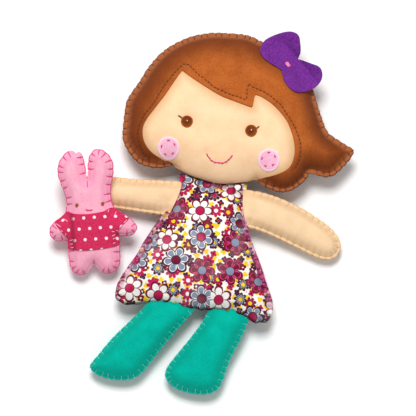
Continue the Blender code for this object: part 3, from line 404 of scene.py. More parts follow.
def finish_piece(name, mesh, finish, merge=1e-6):
    """Merges points that fall together, turns the faces outward, and links the smooth piece."""
    work = bmesh.new()
    work.from_mesh(mesh)
    bmesh.ops.remove_doubles(work, verts=work.verts, dist=merge)
    bmesh.ops.recalc_face_normals(work, faces=work.faces)
    work.to_mesh(mesh)
    work.free()
    mesh.materials.append(finish)
    mesh.shade_smooth()
    piece = bpy.data.objects.new(name, mesh)
    scene.collection.objects.link(piece)
    return piece


def spine_of(outline, points, soften=25):
    """For each outline point the nearest point of a line of spine points, evened out between
    neighbours so that the rows that join the two never jump."""
    line = np.array(points, dtype=float) / 1000.0
    if len(line) == 1:
        return np.repeat(line, len(outline), axis=0)
    start, way = line[:-1], np.diff(line, axis=0)
    off = outline[:, None, :] - start
    share = np.clip((off * way).sum(axis=2) / (way**2).sum(axis=1), 0.0, 1.0)
    feet = start + share[..., None] * way
    best = np.linalg.norm(outline[:, None, :] - feet, axis=2).argmin(axis=1)
    spine = feet[np.arange(len(outline)), best]
    even = np.hanning(soften + 2)[1:-1]
    around = np.vstack([spine[-soften:], spine, spine[:soften]])
    evened = [np.convolve(around[:, axis], even / even.sum(), "same") for axis in range(2)]
    return np.column_stack(evened)[soften:-soften]


def stations(outline, pairs):
    """Spine points matched to outline points by pairs in millimetres, in order round the outline,
    and straight between them, so that every branch of the spine is walked out and back."""
    marks = np.array([pair[0] for pair in pairs]) / 1000.0
    found = np.linalg.norm(outline[None] - marks[:, None], axis=2).argmin(axis=1)
    found = np.append(found, found[0] + len(outline))
    feet = np.array([pair[1] for pair in pairs] + [pairs[0][1]]) / 1000.0
    places = found[0] + (np.arange(len(outline)) - found[0]) % len(outline)
    return np.column_stack([np.interp(places, found, feet[:, axis]) for axis in range(2)])


def cushion(name, form, spine, finish):
    """The whole closed form: its front from the spine to the edge, and its back the same way."""
    front, back = form.rows(spine, 1), form.rows(spine, -1)
    groove = front[:, -1:].copy()
    groove[..., :2] += (form.inward * 0.0003)[:, None, :]
    groove[..., 2] = (front[:, -1:, 2] + back[:, -1:, 2]) / 2
    grid = np.concatenate([front, groove, back[:, ::-1]], axis=1)
    inset = form.inset(grid[..., :2])
    return finish_piece(name, grid_mesh(name, grid, True, False, inset), finish)


# Sewing thread: each stitch is a short round thread that comes up through the cloth, lies on it
# and goes down again.


def threads(name, paths, across, radius, finish):
    """A round tube along each of many paths at once. Every ring is radius times the cosine and
    sine of a turn, along the given way across the path and along the one square to both."""
    way = np.gradient(paths, axis=1)
    way /= np.linalg.norm(way, axis=2)[..., None]
    across = np.broadcast_to(across, paths.shape)
    across = across - way * (across * way).sum(axis=2)[..., None]
    across = across / np.linalg.norm(across, axis=2)[..., None]
    rise = np.cross(way, across)
    turn = np.arange(7) * math.tau / 7
    taper = np.sin(np.linspace(0.12, math.pi - 0.12, paths.shape[1])) ** 0.3 * radius
    ring = np.cos(turn)[:, None] * across[:, :, None, :] + np.sin(turn)[:, None] * rise[:, :, None, :]
    grid = paths[:, :, None, :] + ring * taper[None, :, None, None]
    rows, around = grid.shape[1:3]
    k = np.arange(len(grid))[:, None, None] * rows * around
    i, j = np.arange(rows - 1)[None, :, None], np.arange(around)[None, None, :]
    beside = (j + 1) % around
    this, later = k + i * around, k + (i + 1) * around
    quads = np.stack([this + j, this + beside, later + beside, later + j], axis=-1)
    caps = np.concatenate([k[:, 0] + np.arange(around), k[:, 0] + (rows - 1) * around + np.arange(around)])
    mesh = bpy.data.meshes.new(name)
    points = (grid.reshape(-1, 3) + (*NECKLINE, 0.0)).tolist()
    mesh.from_pydata(points, [], quads.reshape(-1, 4).tolist() + caps.tolist())
    return finish_piece(name, mesh, finish, merge=1e-9)


def edge_places(form, start, stop, pitch, seed):
    """Lengths along an edge from one share of it to another, a stitch apart, not quite even."""
    first, last = start * form.length, stop * form.length
    count = max(int(round((last - first) / pitch)), 2)
    place = np.linspace(first, last, count)
    drift = np.random.default_rng(seed).uniform(-0.16, 0.16, count) * pitch
    return np.mod(place + drift, form.length)


def at_edge(form, place):
    """The outline's points, inward ways and ways along it at the given lengths."""
    which = np.round(place / form.length * len(form.outline)).astype(int) % len(form.outline)
    return form.outline[which], form.inward[which], form.along[which]


def blanket_stitches(name, form, place, depth, radius, finish, seed, run=True):
    """Blanket stitch over an edge: a thread across both faces at each place, and one that runs
    along the edge from each to the next."""
    draw = np.random.default_rng(seed)
    point, inward, along = at_edge(form, place)
    deep = depth * draw.uniform(0.82, 1.18, len(place))
    slant = along * (deep * draw.uniform(-0.15, 0.15, len(place)))[:, None]
    share = np.array([1.0, 0.85, 0.6, 0.35, 0.12, -0.02])
    plan = point[:, None, :] + (inward * deep[:, None] + slant)[:, None, :] * share[None, :, None]
    lift = np.array([-0.4, 0.35, 0.55, 0.55, 0.45, 0.1]) * radius
    top = form.height(plan, 1) + lift
    low = form.height(plan, -1) - lift
    path = np.concatenate([plan, plan[:, ::-1]], axis=1)
    path = np.concatenate([path, np.concatenate([top, low[:, ::-1]], axis=1)[..., None]], axis=2)
    flat = np.concatenate([along, np.zeros((len(along), 1))], axis=1)[:, None, :]
    made = [threads(name, path, flat, radius, finish)]
    if run:
        order = np.argsort(place)
        here = place[order]
        gap = np.diff(here)
        keep = gap < np.median(gap) * 1.8
        steps = here[:-1][keep][:, None] + gap[keep][:, None] * np.linspace(0.0, 1.0, 7)[None, :]
        point, inward, _ = at_edge(form, steps)
        bow = np.sin(np.linspace(0, math.pi, 7))[None, :, None] * 0.25 * radius
        pulled = form.pull * form.pinch(steps)[..., None]
        plan = point + inward * (pulled - 0.2 * radius - bow)
        height = (form.height(plan + inward * 0.001, 1) + form.height(plan + inward * 0.001, -1)) / 2
        path = np.concatenate([plan, height[..., None]], axis=2)
        made.append(threads(name + "_run", path, (0.0, 0.0, 1.0), radius, finish))
    return made


def felt(name, plain, worn, bands=(), fleck=0.55):
    """Wool felt: clumps of fibre about a millimetre across over slow clouds of darker and paler tone, with short
    loose fibres as its bump. A band is a colour laid on by the distance inside the form's edge, which paints
    shade and light into the felt: it is full this many millimetres inside the edge, has faded that many
    inside it, and has a weight; the last one lies uppermost."""
    made, shader, place = new_finish(name)
    clumps = place.noise(0.0013, 4.0, 0.62)
    clouds = place.noise(0.011, 2.0)
    fibres = place.scaled(1.0, 0.35, 1.0).noise(0.00035, 3.0, 0.6)
    streaks = place.scaled(0.4, 1.0, 1.0).noise(0.0004, 3.0, 0.6)
    wear = (clumps * fleck + clouds * (1.0 - fleck) * 0.8 + streaks * 0.2).step(0.34, 0.72)
    colour = wear.tint(worn, plain)
    for full, gone, shade, weight in bands:
        near = place.node("Attribute", {}, output=2, attribute_name="inset") + clumps * 1.6
        colour = (near.step(gone + 0.8, full + 0.8) * weight).tint(colour, shade)
    place.tree.links.new(colour.socket, shader.inputs["Base Color"])
    shader.inputs["Roughness"].default_value = 0.95
    shader.inputs["Specular IOR Level"].default_value = 0.06
    shader.inputs["Sheen Weight"].default_value = 0.04
    shader.inputs["Sheen Roughness"].default_value = 0.5
    relief = clumps * 0.55 + fibres * 0.3 + streaks * 0.3
    bump = place.node("Bump", {"Height": relief, "Strength": 0.55, "Distance": 0.0005})
    place.tree.links.new(bump.socket, shader.inputs["Normal"])
    return made


def floss(name, plain, dark):
    """Stranded sewing thread, with painted shade in the hollows of its twist."""
    made, shader, place = new_finish(name)
    twist = place.noise(0.0006, 2.0)
    place.tree.links.new(twist.step(0.3, 0.7).tint(dark, plain).socket, shader.inputs["Base Color"])
    shader.inputs["Roughness"].default_value = 0.7
    bump = place.node("Bump", {"Height": twist, "Strength": 0.4, "Distance": 0.0002})
    place.tree.links.new(bump.socket, shader.inputs["Normal"])
    return made


# Head. Two shapes of brown felt make the bobbed hair, flicked out at one side; the front one is
# cut away over the face, which is a panel of peach felt under it, and all are stuffed as one form.
HEAD_SEAM = 0.0215
HEAD_CENTRE = (0.0, 52.0)
HAIR = [
    (-34.2, 8.4), (-41.2, 6.3), (-49.6, 5.6), (-59.9, 8), (-69.8, 17.3), (-74.2, 25.8), (-74.8, 32.7),
    (-75.2, 51.5), (-73.1, 59.4), (-66.3, 73), (-61.4, 84), (-52.6, 96.7), (-42.2, 105.6),
    (-30.5, 112.3), (-16.2, 116.7), (-2.3, 118.1), (11.5, 118.4), (22.3, 115.2), (42.5, 107.1),
    (55.7, 97), (67, 82.5), (71, 73.9), (76.6, 61.8), (82.7, 51), (90.2, 46.3), (99.9, 41.8),
    (104, 39.8), (105, 38), (103.4, 33), (97.7, 24.2), (91.6, 17.6), (85, 15.6), (79, 16.6), (74, 17.2),
    (72.4, 16), (71.6, 13), (69.6, 10.1), (62.4, 2.8), (53.7, -0.6), (45.4, 0.5), (37, 3.5),
]
CHIN = [
    (31.8, 6.0), (25.3, 3.8), (15.3, 1.3), (3.9, -0.2), (-10.2, 1.4), (-19.7, 3.6), (-28.2, 6.8),
]
OPENING = [
    (-34.5, 10.8), (-42.9, 13.7), (-50.3, 17.4), (-55.6, 22.4), (-59, 28.9), (-59.8, 36.9),
    (-57.3, 44.1), (-51.7, 54.1), (-46, 64.1), (-40.6, 75.2), (-36.2, 83.6), (-35.2, 84.4), (-33.8, 83.6),
    (-26.2, 79.4), (-15, 73.9), (-2.7, 68.6), (9.1, 65.6), (18.5, 63.4), (21.6, 62.8), (22.5, 63.4),
    (22.8, 67), (23.1, 71.6), (23.7, 72.8), (25, 72.8), (29.1, 71.7), (36.5, 68.1), (44.2, 62.2), (51, 54.9),
    (56.2, 45.2), (59.3, 35.3), (59.3, 26.1), (56.3, 18.7), (48.4, 13.1), (37.4, 8.7), (34, 7.4),
]
hair_outline = through(HAIR + CHIN)
on_chin = (np.abs(hair_outline[:, 0] - 0.001) < 0.036) & (hair_outline[:, 1] < 0.02)
soft_chin = np.convolve(np.tile(on_chin, 3), np.ones(31) / 31, "same")[len(on_chin):-len(on_chin)]


def head_crown(place):
    """The front's crown, lower in the flick at the side than over the head."""
    return 0.0232 * (1.0 - 0.35 * np.clip((place[..., 0] - 0.062) / 0.03, 0.0, 1.0))


head = Form(hair_outline, HEAD_SEAM, head_crown, 0.0, 0.0032 * (1.0 - soft_chin), 0.030, 0.05)
RISE = 1.0 / math.tan(CAMERA_RISE)


def under_picture(points, level):
    """Where points read off the picture, in millimetres, lie on a surface at a given height."""
    place = np.array(points, dtype=float) / 1000.0
    for _ in range(4):
        above = level(place)[..., None] - TABLE_LEVEL
        from_middle = (np.array(points) / 1000.0 - PICTURE_CENTRE) * (1.0 - above / CAMERA_DISTANCE)
        place = PICTURE_CENTRE + from_middle - np.array(picture_up[:2]) * above * RISE
    return place


EYES = under_picture([(-26.6, 45.6), (24.0, 44.9)], head.height)
CHEEKS = under_picture([(-38.0, 22.5), (40.6, 23.4)], head.height)
MOUTH = [
    (-8.2, 22.4), (-6.9, 19.8), (-4.7, 17.8), (-1.5, 16.4), (2.2, 16.0), (5.7, 16.6), (8.5, 18.4),
    (10.6, 20.8), (11.7, 22.9), (12.8, 25.4),
]


def face_height(place):
    """The face's outer surface: the head's form less the hair's thickness, drawn in by the thread
    behind each eye and, less deeply, along the mouth."""
    chin = np.exp(-((place[..., 1] / 0.012) ** 2))
    level = head.height(place) - 0.0010 * (1.0 - chin)
    for eye in EYES:
        level = level - 0.0034 * np.exp(-(np.linalg.norm(place - eye, axis=-1) / 0.0086) ** 2)
    for end in (MOUTH_LINE[0], MOUTH_LINE[-1]):
        level = level - 0.0005 * np.exp(-(np.linalg.norm(place - end, axis=-1) / 0.0035) ** 2)
    return level


MOUTH_LINE = under_picture(MOUTH, head.height)
# The face's band is painted shade along the hair's cut edge, fading out 8 mm onto the face.
FACE_BANDS = [(0.0, 8.0, rgb(218, 172, 124), 0.75)]
face_felt = felt("face_felt", rgb(253, 216, 174), rgb(245, 202, 158), FACE_BANDS, 0.4)
# The hair's bands: painted shade that darkens the dome's sides, full up to 6 mm inside the edge and gone by 31 mm,
# and over it a duller brown on the flange.
HAIR_BANDS = [(6.0, 31.0, rgb(104, 46, 18), 0.85), (2.0, 7.0, rgb(172, 100, 58), 0.9)]
hair_felt = felt("hair_felt", rgb(188, 101, 44), rgb(154, 76, 30), HAIR_BANDS)

# The face panel: rows from its middle out to a hem under the hair, and down over the chin
opening = through(OPENING + [(20, 3), (3.9, 1.0), (-15, 3)])
opening = under_picture(opening * 1000.0, head.height)
FACE_EDGE = [
    (-36, 12), (-48, 12.5), (-58, 19), (-63, 29), (-63.5, 38), (-60, 47), (-54, 58), (-48, 70), (-42, 80),
    (-37, 88), (-28, 84), (-14, 79), (0, 74), (12, 73), (24, 76.5), (34, 73.5), (44, 67), (53, 58.5),
    (60, 46), (63, 36), (63, 25), (58, 15.5), (48, 10), (37, 7.5),
]
face_outline = through(FACE_EDGE + CHIN)
shifted = under_picture(face_outline * 1000.0, head.height)
from_edge, which = head.nearest(face_outline)
face_outline = np.where((from_edge < 0.0010)[:, None], head.outline[which], shifted)
centre = np.array(HEAD_CENTRE) / 1000.0
share = np.append(np.sin(np.linspace(0.0, math.pi / 2, 90)) * 0.985, [0.99, 0.995, 0.9985, 1.0])
plan = centre + (face_outline - centre)[:, None, :] * share[None, :, None]
front = np.concatenate([plan, face_height(plan)[..., None]], axis=2)
behind = front[:, ::-4].copy()
behind[..., 2] -= 0.0009
grid = np.concatenate([front, behind], axis=1)
# Distance from the hair's cut edge, which places the face's painted shade.
hair_edge = opening[(opening[:, 1] > 0.0088) | (np.abs(opening[:, 0]) > 0.034)]
inset = nearest_on(hair_edge, grid[..., :2])[0] * 1000.0
face = finish_piece("doll_face", grid_mesh("doll_face", grid, True, False, inset), face_felt)
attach(face, "head")
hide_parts("face_panel")

# The hair's front: matched points of the face opening and of the outer edge set the rows' ways
MATCHED = [
    ((-34.5, 10.8), (-34.2, 8.4)), ((-42.9, 13.7), (-45, 5.8)), ((-50.3, 17.4), (-59.9, 8)),
    ((-55.6, 22.4), (-69.8, 17.3)), ((-59, 28.9), (-74.2, 25.8)), ((-59.8, 36.9), (-74.8, 38)),
    ((-57.3, 44.1), (-75.2, 51.5)), ((-51.7, 54.1), (-70, 66)), ((-46, 64.1), (-61.4, 84)),
    ((-40.6, 75.2), (-52.6, 96.7)), ((-35.2, 84.4), (-42.2, 105.6)), ((-26.2, 79.4), (-30.5, 112.3)),
    ((-15, 73.9), (-16.2, 116.7)), ((-2.7, 68.6), (-2.3, 118.1)), ((9.1, 65.6), (6, 118.4)),
    ((22, 62.9), (13, 118.2)), ((23.2, 72.4), (20, 116)), ((29.1, 71.7), (30, 112.5)),
    ((36.5, 68.1), (42.5, 107.1)), ((44.2, 62.2), (55.7, 97)), ((51, 54.9), (67, 82.5)),
    ((56.2, 45.2), (76.6, 61.8)), ((59.3, 35.3), (90.2, 46.3)), ((59.5, 30.5), (105, 38)),
    ((58.4, 23.5), (91.6, 17.6)), ((56.3, 18.7), (79, 16.6)), ((53, 15.5), (71.6, 13)),
    ((48.4, 13.1), (62.4, 2.8)), ((42, 10.2), (49, -0.2)), ((34, 7.4), (37, 3.5)),
]
FRINGE_SEAM = [
    (-51.4, 11.8), (-56.1, 14.5), (-59.7, 19.1), (-61.7, 23.8), (-63.7, 30.2), (-63.5, 35.7),
    (-60.5, 45.8), (-55.5, 53.9), (-52.7, 59.8), (-48.5, 69.5), (-45, 75.9), (-40.5, 83.3),
    (-35.3, 89.8), (-31, 89.6), (-27.8, 87.5), (-23.8, 83.8), (-17.4, 80.3), (-10.2, 75.2),
    (-5, 73.4), (2, 71.3), (11, 69.4), (16.9, 68.2), (17, 71.5), (16.7, 75.8), (17.2, 81.1),
    (20.8, 78.7), (28, 76.7), (32.8, 75), (39.1, 71.3), (44.3, 67.8), (48.6, 62.5), (52.5, 58.3),
    (56.1, 53.5), (59.3, 48.6), (61.8, 43.6), (63.4, 39.1), (64.4, 33.9), (64.1, 26.5),
    (62.6, 21.5), (60.2, 17),
]
raw_opening = through(OPENING + [(20, 3), (3.9, 1.0), (-15, 3)])
inner_index = [np.abs((raw_opening - np.array(a) / 1000.0) @ [1, 1j]).argmin() for a, _ in MATCHED]
outer_index = [np.abs((head.outline - np.array(b) / 1000.0) @ [1, 1j]).argmin() for _, b in MATCHED]
columns = np.arange(outer_index[0], outer_index[-1] + 1)
back_to = np.interp(columns, outer_index, inner_index)
first = np.floor(back_to).astype(int)
part = (back_to - first)[:, None]
inner = opening[first] * (1 - part) + opening[np.minimum(first + 1, len(opening) - 1)] * part

hair_end = outer_index[-1] / len(head.outline)
hair_places = edge_places(head, 0.012, hair_end - 0.010, 0.0056, 3)
head.stitches, head.pull, head.pucker, head.crease = hair_places, 0.0009, 0.0010, 0.0036
outer = head.outline[columns] + (head.inward * (head.pull * head.pinch(head.arc))[:, None])[columns]
gap = np.linalg.norm(outer - inner, axis=1)[:, None]
near = np.array([0, 0.01, 0.03, 0.08, 0.15, 0.25, 0.4, 0.5, 0.58, 0.66, 0.74, 0.82, 0.9, 1])
near = np.minimum(gap * 0.45, 0.0050) * near
hem = np.minimum(0.0045, gap * 0.5)
ease = np.sin(np.linspace(0.0, math.pi / 2, 34))[None, 1:]
middle = near[:, -1:] + (gap - hem - near[:, -1:]) * ease
last = gap - hem * np.array([0.8, 0.62, 0.46, 0.32, 0.2, 0.1, 0.04, 0.012, 0.0])
lengths = np.hstack([near, middle, last])
plan = inner[:, None, :] + (outer - inner)[:, None, :] * (lengths / gap)[..., None]
fringe_line = np.array(FRINGE_SEAM)
steps = np.linspace(0, len(fringe_line) - 1, 400)
fringe_line = np.column_stack([np.interp(steps, range(len(fringe_line)), fringe_line[:, axis]) for axis in (0, 1)])
fringe_line = under_picture(fringe_line, head.height)
cut_edge = 0.0014 * np.sqrt(1.0 - (1.0 - np.clip(lengths / 0.0008, 0.0, 1.0)) ** 2) - 0.0011
raised = cut_edge * np.clip((gap - lengths) / 0.004, 0.0, 1.0)
groove = 0.0007 * np.exp(-((nearest_on(fringe_line, plan)[0] / 0.0011) ** 2))
over = np.concatenate([plan, (head.height(plan) + raised - groove)[..., None]], axis=2)
under = over[:, ::-3].copy()
under[..., 2] = np.maximum(under[..., 2] - 0.0012, HEAD_SEAM + 0.0001)
grid = np.concatenate([over, under], axis=1)
# Stretched toward the flick, the inset narrows the hair's painted shade bands there.
inset = head.inset(grid[..., :2]) * (1.0 + 0.6 * np.exp(-(((grid[..., 0] - 0.060) / 0.022) ** 2)))
hair = finish_piece("hair_front_felt", grid_mesh("hair_front_felt", grid, False, True, inset), hair_felt)
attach(hair, "head")
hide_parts("hair_front")

# The hair's back, which the head lies on, closes at the nape
nape_outline = through(HAIR[:-1] + [(37, 6.4), (30, 10), (10, 10), (-10, 10), (-30, 11)])
nape = Form(nape_outline, HEAD_SEAM, 0.0, HEAD_SEAM - 0.0012, 0.0032, 0.030, 0.05)
nape.stitches = edge_places(nape, 0.004, 0.8, 0.0056, 3)
nape.pull = 0.0009
rows = nape.rows(np.repeat(centre[None, :], len(nape_outline), axis=0), -1, 40)
rows[..., 2] = np.maximum(rows[..., 2], 0.0001)
inside = rows[:, ::-6].copy()
inside[..., 2] = HEAD_SEAM - 0.0001
grid = np.concatenate([rows, inside], axis=1)
inset = nape.inset(grid[..., :2])
hair_back = finish_piece("hair_back_felt", grid_mesh("hair_back_felt", grid, True, False, inset), hair_felt)
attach(hair_back, "head")
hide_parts("hair_back", "head_stuffing")

hair_thread = floss("hair_thread", rgb(104, 46, 18), rgb(74, 30, 10))
edge_stitches = blanket_stitches("hair_stitches", head, hair_places, 0.0044, 0.00034, hair_thread, 5)


def running_stitches(name, line, level, stitch, gap, radius, finish, seed):
    """A row of short stitches along a plan line, each a low arch over the cloth's surface."""
    steps = np.append(0.0, np.cumsum(np.linalg.norm(np.diff(line, axis=0), axis=1)))
    starts = np.arange(0.0, steps[-1] - stitch, stitch + gap)
    draw = np.random.default_rng(seed)
    starts = starts + draw.uniform(-0.15, 0.15, len(starts)) * gap
    reach = stitch * draw.uniform(0.88, 1.1, len(starts))
    place = starts[:, None] + reach[:, None] * np.linspace(0.0, 1.0, 8)[None, :]
    plan = np.stack([np.interp(place, steps, line[:, axis]) for axis in range(2)], axis=-1)
    way = plan[:, -1:] - plan[:, :1]
    way /= np.linalg.norm(way, axis=2)[..., None]
    shift = radius * draw.uniform(-0.5, 0.5, len(starts))
    plan = plan + np.stack([-way[..., 1], way[..., 0]], axis=-1) * shift[:, None, None]
    arch = np.array([-0.9, 0.1, 0.5, 0.62, 0.62, 0.5, 0.1, -0.9]) * radius
    path = np.concatenate([plan, (level(plan) + arch)[..., None]], axis=2)
    across = np.stack([-way[..., 1], way[..., 0], np.zeros_like(way[..., 0])], axis=-1)
    return threads(name, path, across, radius, finish)


def hair_top(place):
    """The hair felt's outer surface away from its cut edge."""
    return head.height(place) - 0.0001


fringe = running_stitches("fringe_stitches", fringe_line, hair_top, 0.0021, 0.0010, 0.00036, hair_thread, 8)
for piece in (*edge_stitches, fringe):
    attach(piece, "head")


# Face trims: felt discs for the eyes and cheeks, the eyes' knots and lashes, and a stitched smile


def disc(name, middle, radius, thickness, finish, wobble=0.03, seed=1):
    """A cut felt disc that follows the face: height is the face's plus the thickness times a
    quarter circle over the last half millimetre, and the cut edge wanders a little."""
    turn = np.arange(96) * math.tau / 96
    rim = radius * (1.0 + wobble * ripple(np.column_stack([np.cos(turn), np.sin(turn)]), 2.0, seed))
    inset = np.append(np.linspace(1.0, 0.12, 16) * radius, [0.0005, 0.00025, 0.0001, 0.0])
    reach = np.maximum(rim[:, None] - inset[None, :], 0.0)
    plan = middle + np.stack([np.cos(turn), np.sin(turn)], axis=-1)[:, None, :] * reach[..., None]
    lift = thickness * np.sqrt(1.0 - (1.0 - np.clip(inset / 0.0006, 0.0, 1.0)) ** 2)
    top = np.concatenate([plan, (face_height(plan) + lift)[..., None]], axis=2)
    below = top[:, ::-3].copy()
    below[..., 2] = face_height(below[..., :2]) - 0.0002
    inset = np.concatenate([inset, inset[::-3]])[None, :] * 1000.0 + np.zeros((len(rim), 1))
    grid = np.concatenate([top, below], axis=1)
    return finish_piece(name, grid_mesh(name, grid, True, False, inset), finish)


# The eye disc's band is painted shading: paler at the disc's rim and darker toward its middle.
eye_felt = felt("eye_felt", rgb(140, 70, 26), rgb(104, 46, 14), [(0.2, 1.2, rgb(172, 96, 44), 0.9)], 0.5)
# The cheek disc's band is painted light: a paler rim round a deeper pink middle.
CHEEK_BANDS = [(0.8, 2.2, rgb(255, 220, 234), 0.9)]
cheek_felt = felt("cheek_felt", rgb(255, 200, 220), rgb(246, 168, 198), CHEEK_BANDS, 0.7)
glint_thread = floss("glint_thread", rgb(250, 230, 204), rgb(230, 200, 164))
eye_thread = floss("eye_thread", rgb(112, 50, 18), rgb(76, 32, 10))
eye_thread.node_tree.nodes["Principled BSDF"].inputs["Roughness"].default_value = 0.35
lash_thread = floss("lash_thread", rgb(124, 64, 30), rgb(88, 42, 18))
rose_thread = floss("rose_thread", rgb(228, 66, 134), rgb(204, 40, 108))
LASHES = [[(-30.2, 47.6), (-33.0, 49.2), (-35.9, 49.2)], [(27.6, 46.6), (29.4, 48.4), (30.7, 50.2)]]
for side, eye, cheek, lash in zip(("right", "left"), EYES, CHEEKS, LASHES):
    iris = disc(f"{side}_eye_felt", eye, 0.0047, 0.0011, eye_felt, 0.03, 4)
    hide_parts(f"{side}_eye")
    blush = disc(f"{side}_cheek_felt", cheek, 0.0085, 0.0010, cheek_felt, 0.025, 6)
    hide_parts(f"{side}_cheek")
    turn = np.linspace(-0.5, math.pi * 1.6, 40)
    coil = eye + 0.0009 * np.column_stack([np.cos(turn), np.sin(turn)])
    knot = np.column_stack([coil, face_height(coil) + 0.0014])[None]
    pupil = threads(f"{side}_pupil", knot, (0.0, 0.0, 1.0), 0.00085, eye_thread)
    glint_at = eye + np.array([0.0001, 0.0004])
    dash = np.array([[-0.0001, -0.0006], [0.0, 0.0], [0.0001, 0.0006]])
    glint = np.column_stack([glint_at + dash, [0, 0, 0]])
    glint[:, 2] = face_height(glint_at[None])[0] + 0.0023
    glint = threads(f"{side}_glint", glint[None], (0.0, 0.0, 1.0), 0.00045, glint_thread)
    line = under_picture(lash, head.height)
    steps = np.linspace(0.0, 2.0, 12)
    line = np.column_stack([np.interp(steps, range(3), line[:, axis]) for axis in range(2)])
    whole = np.linalg.norm(np.diff(line, axis=0), axis=1).sum() * 0.88
    lashes = running_stitches(f"{side}_lash", line, face_height, whole, whole, 0.00058, lash_thread, 2)
    ring = 0.0052 * np.column_stack([np.cos(np.linspace(0.3, 6.7, 90)), np.sin(np.linspace(0.3, 6.7, 90))])
    dots = running_stitches(
        f"{side}_cheek_stitches", cheek + ring, lambda place: face_height(place) + 0.0010,
        0.0021, 0.0044, 0.00055, rose_thread, 9,
    )
    for piece in (iris, blush, pupil, glint, lashes, dots):
        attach(piece, "head")
steps = np.linspace(0, 9, 66)
smile_line = np.column_stack([np.interp(steps, range(10), MOUTH_LINE[:, axis]) for axis in (0, 1)])
smile = running_stitches("smile", smile_line, face_height, 0.0030, -0.0002, 0.00056, rose_thread, 7)
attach(smile, "head")

# The bow: one shape of purple felt, caught to the hair at its waist by a few pink stitches
BOW = [
    (40.4, 95.7), (33.1, 99), (26.8, 102.6), (23.8, 106), (22.8, 109.2), (24.6, 115.8), (30.3, 120.8),
    (39.9, 125.5), (46.6, 126.4), (51.2, 124), (53.2, 118.3), (54.3, 111.6), (53.4, 107), (53.2, 105.4),
    (56.2, 105), (63.2, 103.4), (70.4, 101.4), (73.4, 96.2), (72.7, 90.1), (68.4, 84.1), (62, 80.6),
    (55.3, 79.3), (48.9, 82.4), (44.4, 87.3), (41.9, 93.8),
]
bow_low, bow_high = (np.array(corner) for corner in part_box("hair_bow"))
bow_middle = np.array([0.0471, 0.0969])
bow_away = (bow_middle - (0.002, 0.058)) / np.linalg.norm(bow_middle - (0.002, 0.058))


def bow_level(place):
    """The bow's upper face: a plane tipped down away from the head, with lobes that cup a little."""
    out = place - bow_middle
    slope = (out @ bow_away) * -math.tan(math.radians(24.0))
    cup = 0.0010 * ripple(place, 0.045, 12) + 0.0012 * np.clip(np.linalg.norm(out, axis=-1) / 0.025, 0, 1) ** 2
    dip = 0.0008 * np.exp(-(np.linalg.norm(out, axis=-1) / 0.004) ** 2)
    plane = (bow_low[2] + bow_high[2]) / 2 + 0.0004 + slope + cup
    rests = head.height(place) + 0.0020 - plane
    return plane + (rests + np.sqrt(rests**2 + 0.0015**2)) / 2 - dip


bow_felt = felt("bow_felt", rgb(124, 52, 150), rgb(84, 25, 114), fleck=0.8)
bow_outline = under_picture(through(BOW) * 1000.0, bow_level)
knot_at = under_picture([(45.6, 100.0)], bow_level)[0]
reach = np.append(np.linspace(0.0, 0.975, 40), [0.985, 0.993, 0.998, 1.0])
plan = knot_at + (bow_outline - knot_at)[:, None, :] * reach[None, :, None]
edge = np.linalg.norm(bow_outline - knot_at, axis=1)[:, None] * (1 - reach)
round_edge = 0.0004 * (1.0 - np.sqrt(1.0 - (1.0 - np.clip(edge / 0.0005, 0.0, 1.0)) ** 2))
top = np.concatenate([plan, (bow_level(plan) - round_edge)[..., None]], axis=2)
low = top[:, ::-1].copy()
low[..., 2] -= 0.0015 - 2 * round_edge[:, ::-1]
bow = finish_piece("bow_felt", grid_mesh("bow_felt", np.concatenate([top, low], axis=1), True, False), bow_felt)
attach(bow, "head")
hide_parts("hair_bow")
along_knot, beside_knot = np.array([0.68, -0.73]), np.array([0.73, 0.68])
strands = np.array([-0.0008, 0.0001, 0.0009])[:, None, None] * beside_knot
plan = knot_at + strands + along_knot * np.linspace(-0.0023, 0.0023, 9)[None, :, None]
arch = [-0.0008, 0.0001, 0.0004, 0.0005, 0.0005, 0.0005, 0.0004, 0.0001, -0.0008]
wrap = np.concatenate([plan, (bow_level(plan) + arch)[..., None]], axis=2)
knot_thread = floss("knot_thread", rgb(255, 150, 200), rgb(246, 104, 170))
knot = threads("bow_knot_thread", wrap, (0.0, 0.0, 1.0), 0.0007, knot_thread)
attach(knot, "head")
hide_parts("bow_knot")

# Dress. A pillow of printed cotton, seamed down both sides with the raw edges left outside, and
# turned in at the neck and the hem. Thread draws the cloth in at the sides and folds fan from the neck.
DRESS_SEAM = 0.0170
DRESS = [
    (-25.6, 4.4), (-26.2, -1), (-26.9, -7.8), (-28.8, -14.7), (-31.6, -22.7), (-35.4, -29.8),
    (-41.1, -39.3), (-46.3, -50), (-51.8, -63.4), (-57.8, -74.8), (-61.9, -83.5), (-63.8, -91.2),
    (-63.3, -98), (-60.4, -101.8), (-54.7, -103), (-45.3, -101.5), (-35, -99.1), (-24.7, -98),
    (-14.1, -98.6), (-3.5, -99.5), (7.8, -99.1), (19.1, -98.1), (28.6, -98.4), (37.5, -100.4), (43.6, -102.9),
    (50.5, -104), (55.9, -101), (58.2, -94), (57.8, -86.6), (55.1, -79.9), (51.4, -72.7),
    (47.8, -64.7), (43.3, -55.7), (38.3, -46.4), (34.3, -38.4), (31.4, -31), (29, -23), (27.5, -12),
    (26.4, -2.7), (25.6, 3.7), (18, 1.9), (3.9, -0.1), (-10.2, 1.3), (-19.7, 3.2),
]
dress_outline = through(DRESS)
dress_outline = dress_outline * (1.0 + 0.009 * ripple(dress_outline, 0.008, 24))[:, None]
sides = ((dress_outline[:, 1] < 0.001) & (dress_outline[:, 1] > -0.0950)).astype(float)
sides = np.convolve(np.tile(sides, 3), np.ones(9) / 9, "same")[len(sides):-len(sides)]


def dress_seam(place):
    """The seam's level: flat but for the frill of the raw edges, which wave up and down."""
    return DRESS_SEAM + 0.0008 * ripple(place, 0.010, 21)


